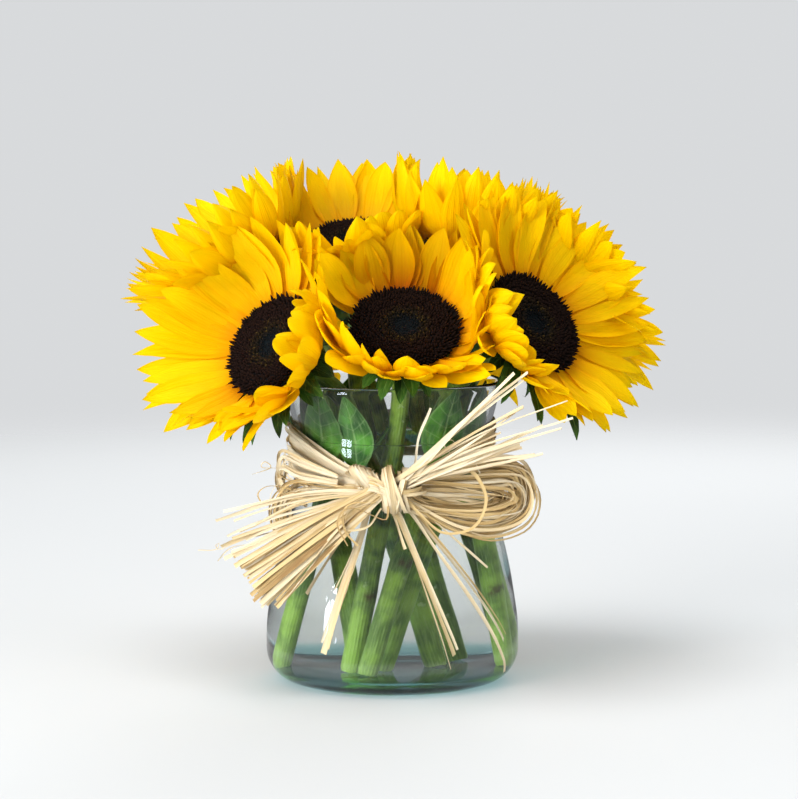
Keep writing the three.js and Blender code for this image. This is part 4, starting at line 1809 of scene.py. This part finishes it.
    def right_loop(self) -> list[Path]:
        """Draw the large right loop, its filling, and the loose strand that hangs in front of it.

        Returns:
            Their paths.
        """
        loop, start, layer, fill_layer = self.right, self.right.start, 46, 14
        paths = []
        for i in range(2 * layer):
            scale = 0.06 + 1.02 * (i % layer + 0.5) / layer
            outline = ((0.0, self.about(119, 2)), *loop.outline, (0.0, self.about(115, 2)))
            # painted shade: the loop's fibres take darker tan and brown tones, darkest round the eye, for the
            # shade inside the loop
            shade = (STRAW, TAN, TAN, BROWN)[i % 4]
            if scale < 0.45:
                shade = (BROWN, TAN)[i % 2]
            paths.append(self.looped(loop, outline, scale, self.about(1.0, 4.0),
                                     self.random.uniform(0.35, 1.05), shade))
        for i in range(2 * fill_layer):
            far = loop.place(self.random.uniform(0.62, 0.86), 0.0)
            height = self.about(100 + 24 * (i % fill_layer) / (fill_layer - 1), 1)
            near = (*start, self.about(117, 2.5))
            middle = (start[0] * 0.55 + far[0] * 0.45, start[1] * 0.55 + far[1] * 0.45, (118 + height) / 2)
            half, shade = self.random.uniform(0.6, 1.3), (TAN, BROWN, STRAW)[i % 3]
            paths.append(self.fibre([near, middle, (far[0], far[1] + 1.0, height)], half, shade, 0.8,
                                    roll=30, count=20, taper=True))
        loose = [(8, -75, 122), (24, -79, 128), (41, -80, 130), (49, -79, 121), (51, -78, 110),
                 (44, -77, 97), (28, -77, 94), (15, -76, 104), (7, -73, 113)]
        return paths + [self.fibre(loose, 0.9, STRAW, wander=0.3, count=40)]

    def left_loop(self) -> list[Path]:
        """Draw the small untidy left loop behind the fan of tails, and the curl behind it.

        Returns:
            Their paths.
        """
        fibres, curled = 24, 12
        paths = []
        for i in range(fibres):
            scale = 0.55 + 0.6 * self.random.random()
            shade = TAN if i % 3 else STRAW
            paths.append(self.looped(self.left, self.left.outline, scale, self.about(0, 2.5),
                                     self.random.uniform(0.35, 0.9), shade))
        for _ in range(curled):
            low, out = self.random.uniform(-6, 6), self.random.uniform(0, 2.5)
            curl = [(-30, -62, 122 + low * 0.4), (-50, -52 + out, 126 + low), (-59 - out, -38, 129 + low),
                    (-62 - out, -30, 121 + low), (-59 - out, -36, 113 + low), (-48, -51, 110 + low)]
            paths.append(self.fibre(curl, self.random.uniform(0.5, 1.2), WHITE, wander=0.8))
        return paths

    def tail(self, root: Array, tip: Array, bow: tuple[float, float, float], half: float, shade: Shade,
             **looks: float) -> Path:
        """Draw one tail from the knot to its cut end, bowed out half-way."""
        return self.fibre([root, root * 0.5 + tip * 0.5 + bow, tip], half, shade, **looks)

    def wisps(self, lines: list, shade: Shade, wander: float) -> list[Path]:
        """Draw thin curling wisps."""
        return [self.fibre(line, 0.35, shade, wander=wander, roll=80) for line in lines]

    def left_fan(self) -> list[Path]:
        """Draw the broad fan of flat cut tails on the left, and the wisps above it.

        Returns:
            Their paths.
        """
        root, layer = np.array([-7.0, -73.0, 117.0]), 16
        top, bottom = np.array([-86.0, -66.0, 79.0]), np.array([-67.0, -69.0, 51.0])
        paths = []
        for i in range(3 * layer):
            share = self.about((i % layer + 0.5) / layer, 0.03)
            tip = top * (1 - share) + bottom * share
            tip = tip + (self.about(0, 3.0), 1.1 * (i // layer) - 1.1, self.about(0, 0.8))
            begin = root + (self.about(0, 2), 0.8 * (i // layer), 2.5 - 5 * share)
            shade = (TAN, STRAW, TAN, BROWN)[int(self.random.integers(4))]
            paths.append(self.tail(begin, tip, (0, -3.5, 2.6 - 2.2 * share), self.random.uniform(0.6, 1.5),
                                   shade, wander=0.35, roll=13, count=16))
        for *tip, half in ((-94, -62, 105, 0.8), (-95, -63, 101.5, 1.1), (-86, -62, 97, 0.6),
                           (-90, -64, 91, 0.8), (-92, -65, 85, 1.5), (-90, -65, 82, 1.3),
                           (-88, -65, 88, 0.9), (-78, -66, 96, 0.6), (-82, -66, 90, 0.7),
                           (-84, -64, 93, 0.5), (-57, -70, 58, 0.8), (-60, -70, 54, 0.6)):
            paths.append(self.tail(root, np.array(tip), (0, -2.5, 4.0), half, STRAW, wander=1.1, roll=30))
        return paths + self.wisps([
            [(-60, -64, 94), (-86, -62, 89), (-97, -62, 85), (-99, -62, 87), (-97, -62, 88),
             (-99, -62, 84), (-108, -62, 83)],
            [(-72, -64, 88), (-86, -62, 83), (-96, -62, 75)],
            [(-60, -45, 126), (-72, -45, 127), (-70, -45, 131), (-66, -45, 128), (-76, -45, 124)],
            [(-56, -58, 116), (-68, -58, 118), (-74, -58, 114), (-70, -58, 108), (-64, -58, 112)],
            [(-44, -66, 100), (-58, -66, 96), (-62, -66, 90), (-56, -67, 86), (-50, -67, 92),
             (-56, -66, 97)]], STRAW, 0.8)

    def right_fan(self) -> list[Path]:
        """Draw the spread of pale tails that rise to the right, and the curls at its root.

        Returns:
            Their paths.
        """
        root = np.array([2.0, -73.0, 119.0])
        paths = []
        for *tip, half in ((66, -113, 187, 1.1), (72, -112, 185, 1.7), (70, -110, 181, 0.6),
                           (69, -100, 166, 1.4), (67, -99, 164, 0.8), (94, -108, 169, 0.6),
                           (96, -106, 161, 0.7), (92, -104, 155, 0.9), (82, -98, 156, 0.8),
                           (80, -90, 141, 1.3), (76, -90, 139, 0.9), (70, -88, 145, 1.5),
                           (66, -88, 147, 1.0), (72, -88, 142, 1.2), (60, -90, 150, 0.6),
                           (74, -94, 149, 0.5)):
            end = np.array(tip) + 0.8 * self.random.normal(size=3)
            begin = root + (self.about(0, 2), self.about(0, 1), self.about(0, 1.5))
            paths.append(self.tail(begin, end, (0, -3.0, self.about(1.5, 1.5)), half, WHITE,
                                   wander=0.5, roll=25, count=18))
        upright = [(12, -77, 130), (15, -80, 145), (21, -83, 164)]
        paths.append(self.fibre(upright, 0.7, WHITE, wander=0.3, count=14))
        return paths + self.wisps([
            [(30, -80, 134), (36, -82, 140), (33, -83, 145), (29, -82, 142), (34, -81, 137)],
            [(38, -80, 132), (44, -83, 141), (40, -84, 147), (45, -84, 150)],
            [(20, -78, 125), (30, -80, 136), (42, -82, 137), (47, -81, 129)]], WHITE, 0.6)

    def strand(self, knot_angle: float, angle: float, low: float, half: float, shade: Shade,
               stand: float = 0.0) -> Path:
        """Hang one strand from the knot so that it comes to lie on the glass.

        Args:
            knot_angle: The angle round the vase at which it leaves the knot.
            angle: The angle of its low end.
            low: The height of its low end.
            half: Half its width.
            shade: How light it is.
            stand: How far its low end stands off the glass.

        Returns:
            The path.
        """
        s = np.linspace(0, 1, 30)
        z = self.hang_level + (low - self.hang_level) * s
        rest = self.vase.radius(z) + 0.9 + stand * s ** 2
        out = rest + (self.hang_out - rest) * np.clip(1 - s * 3.2, 0, 1) ** 2
        around = knot_angle + (angle - knot_angle) * s ** 0.85
        return self.fibre(polar(out, around, z), half, shade, wander=0.25, roll=16, count=len(s),
                          facing=polar(1.0, around, 0.2))

    def hanging(self) -> tuple[list[Path], list[Path]]:
        """Draw the strands that hang in front of the glass, and the thin rings under the knot.

        Returns:
            Those on the left, with the rings, and those on the right.
        """
        left = [self.strand(*each) for each in (
            (-99, -121, 24, 2.2, STRAW), (-99, -119, 27, 1.3, TAN),
            (-100, -123, 31, 0.6, WHITE), (-101, -132, 57, 1.0, STRAW, 2),
            (-102, -134, 66, 0.6, TAN, 3), (-98, -117, 60, 0.5, STRAW, 2))]
        right = [self.strand(*each) for each in (
            (-92, -62, 24, 1.4, STRAW), (-91, -60, 27, 0.8, WHITE),
            (-90, -64, 17, 0.5, STRAW, 1), (-88, -31, 27, 1.4, STRAW),
            (-87, -29, 31, 0.8, TAN), (-88, -27, 9, 1.0, WHITE),
            (-86, -40, 70, 0.6, STRAW, 3), (-94, -84, 84, 0.8, STRAW, 4))]
        left += [self.fibre(ring, 0.6, STRAW, wander=0.4, roll=50) for ring in (
            [(-9, -75, 111), (-21, -79, 110), (-27, -79, 105), (-26, -78, 95), (-19, -76, 87)],
            [(-2, -77, 110), (-3, -80, 102), (-10, -80, 104), (-18, -80, 108), (-25, -80, 108),
             (-29, -79, 100), (-24, -78, 88)],
            [(-6, -76, 108), (-14, -78, 98), (-26, -77, 96), (-24, -79, 106), (-12, -79, 112)])]
        return left, right


# ---------- The studio ----------

@dataclass(frozen=True)
class Lamp:
    """A soft lamp of one pane or more, in metres and watts, which may be mirrored, or light nothing."""

    name: str
    at: tuple[float, float, float]
    size: tuple[float, float]
    power: float
    colour: str = "#ffffff"
    panes: tuple[int, int] = (1, 1)
    bar: float = 0.0
    mirrored: bool = True
    lights: bool = True

    def places(self) -> list[Vector]:
        """Give the middle of each pane in the lamp's own plane."""
        steps = [(np.arange(count) + 0.5) / count - 0.5 for count in self.panes]
        return [Vector((self.size[0] * x, self.size[1] * y, 0.0)) for x in steps[0] for y in steps[1]]

    def hang(self, target: Vector) -> None:
        """Hang every pane and aim it.

        Args:
            target: What it is aimed at, in metres.
        """
        light = bpy.data.lights.new(self.name, "AREA")
        light.shape = "RECTANGLE"
        light.size, light.size_y = (size / count - self.bar for size, count in zip(self.size, self.panes))
        light.energy = self.power / (self.panes[0] * self.panes[1])
        light.color = tint(self.colour)[:3]
        aim = (target - Vector(self.at)).to_track_quat("-Z", "Y")
        for place in self.places():
            pane = stood(self.name, light)
            pane.location = Vector(self.at) + aim @ place
            pane.rotation_euler = aim.to_euler()
            pane.visible_camera = pane.visible_transmission = False
            pane.visible_glossy = self.mirrored
            pane.visible_diffuse = self.lights


@dataclass
class Studio:
    """A plain pale floor, soft lamps, an even surround and the camera."""

    target: tuple[float, float, float] = (0.0038, 0.0, 0.160)
    distance: float = 1.8
    pitch: float = 5.9
    field_width: float = 0.4549
    sensor_width: float = 36.0
    floor_radius: float = 9.0
    floor_drop: float = 0.0002
    surround: str = "#e6e8ea"
    seen_strength: float = 0.87
    light_strength: float = 0.62
    mirror_strength: float = 0.3
    lamps: tuple[Lamp, ...] = (
        Lamp("key", (-1.5, -1.98, 0.62), (1.0, 1.2), 60.0, "#fffcf6", mirrored=False),
        Lamp("window", (-1.89, -1.13, 0.32), (0.46, 0.54), 15.0, "#f4f9ff", (2, 2), 0.05),
        Lamp("low window", (-0.275, -0.211, 0.045), (0.08, 0.08), 0.26, "#e6f0ff", (2, 2), 0.007, lights=False),
        Lamp("fill", (1.9, -1.5, 0.6), (1.0, 1.0), 14.0, mirrored=False),
        Lamp("top", (-0.5, -0.5, 2.1), (1.3, 1.3), 28.0),
        Lamp("back", (0.6, 2.0, 1.1), (1.4, 1.0), 22.0),
    )

    def build(self) -> None:
        """Set the floor, the lamps, the surround and the camera."""
        self.floor()
        for lamp in self.lamps:
            lamp.hang(Vector(self.target))
        self.surroundings()
        bpy.context.scene.view_settings.view_transform = "Standard"
        self.camera()

    def surroundings(self) -> None:
        """Set an even surround, which is seen brighter than it lights, and mirrored darker."""
        world = bpy.data.worlds.new("surround")
        world.use_nodes = True
        sky = Graph(world.node_tree)
        sky.tree.nodes.clear()
        rays = sky.add("ShaderNodeLightPath")
        lighting = sky.get(rays, "Diffuse Depth").between(0.0, 1.0)
        mirrored = sky.get(rays, "Glossy Depth").between(0.0, 1.0) * (1 - lighting)
        strength = lighting * (self.light_strength - self.seen_strength) + self.seen_strength
        strength = strength + mirrored * (self.mirror_strength - self.seen_strength)
        glow = sky.take("ShaderNodeBackground", {}, {"Color": tint(self.surround), "Strength": strength})
        sky.add("ShaderNodeOutputWorld", {}, {"Surface": glow})
        bpy.context.scene.world = world

    def floor(self) -> None:
        """Lay the floor just under the vase's foot."""
        corners = polar(self.floor_radius, np.arange(64) * 360 / 64, -self.floor_drop)
        mesh = bpy.data.meshes.new("floor")
        mesh.from_pydata(corners, [], [list(range(len(corners)))])
        mesh.materials.append(FloorFinish().make())
        floor = stood("floor", mesh)

    def camera(self) -> None:
        """Set the camera level in front, looking a little down."""
        data = bpy.data.cameras.new("camera")
        data.sensor_fit = "HORIZONTAL"
        data.sensor_width = self.sensor_width
        data.lens = self.sensor_width * self.distance / self.field_width
        camera = stood("camera", data)
        tilt = math.radians(self.pitch)
        camera.location = Vector(self.target) + Vector((0, -math.cos(tilt), math.sin(tilt))) * self.distance
        camera.rotation_euler = (math.radians(90 - self.pitch), 0, 0)
        bpy.context.scene.camera = camera


HABITS = (
    HeadHabit(1, cup=42, length=46, droop=0.06, seed=58, tufts=(
        # painted shade: the negative tone paints head 1's upper petals orange-brown, for the shade that falls
        # on them
        Tuft(90, 50, lift=4, girth=0.3, tone=-0.75, sparse=0.35), Tuft(120, 34, length=-0.2),
        Tuft(166, 17, sparse=1.1), Tuft(205, 22, lift=16, girth=0.15, blunt=0.8),
        Tuft(254, 38, lift=22, curl=-4, length=-0.26, girth=0.1, wild=-3),
        Tuft(300, 20, length=-0.1))),
    HeadHabit(2, cup=17, length=54, crowd=12, bracts=0.5, seed=57, tufts=(
        Tuft(259, 32, length=-0.38), Tuft(262, 50, lift=12), Tuft(290, 10, length=0.16),
        Tuft(190, 34, lift=4, length=0.16),
        Tuft(50, 34, lift=22, length=-0.3, girth=-0.42, wild=14, sparse=0.3),
        Tuft(2, 65, lift=76, curl=14, length=-0.24, wild=6, blunt=1.0),
        Tuft(324, 5, lift=-46, length=-0.3, girth=-0.5))),
    HeadHabit(3, cup=12, length=49, bracts=0.7, tufts=(
        Tuft(228, 24, lift=55, length=-0.24, blunt=0.5), Tuft(265, 50, lift=14, length=-0.18),
        Tuft(168, 44, lift=58, curl=10, length=-0.2, wild=14), Tuft(0, 60, length=0.07))),
    HeadHabit(4, cup=36, length=49, seed=41, tufts=(
        Tuft(290, 50, lift=24), Tuft(222, 26, lift=30, length=-0.4, blunt=0.8),
        Tuft(318, 18, lift=36, length=-0.3, blunt=0.8))),
    HeadHabit(5, cup=60, length=52, seed=41, tufts=(
        Tuft(270, 80, lift=16), Tuft(235, 40, length=-0.2))),
    HeadHabit(6, cup=58, length=50, crowd=14, seed=53, tufts=(
        Tuft(80, 50, length=-0.2), Tuft(200, 58, lift=10, length=0.3))),
    HeadHabit(7, cup=28, length=49, crowd=12, seed=56, tufts=(
        Tuft(112, 34, length=-0.1), Tuft(152, 24, length=0.2))),
    HeadHabit(8, cup=16, length=46),
    HeadHabit(9, cup=16, length=46),
)
LEAVES = 8


def main() -> None:
    """Build every piece of the object, then the studio."""
    logging.basicConfig(level=logging.INFO, format="%(name)s: %(message)s")
    shop = Workshop(BladeRecipe(), FloretRecipe(), DownRecipe())
    vase = Vase()
    vase.build()
    poses = {habit.number: HeadPose.read(habit.number) for habit in HABITS}
    for habit in HABITS:
        FlowerHead(habit, shop, poses).build()
        Stem(habit.number, shop, poses[habit.number]).build()
    for number in range(1, LEAVES + 1):
        NeckLeaf(number, shop, vase).build()
    RaffiaBow(shop, vase).build()
    Studio().build()


if __name__ == "__main__":
    main()
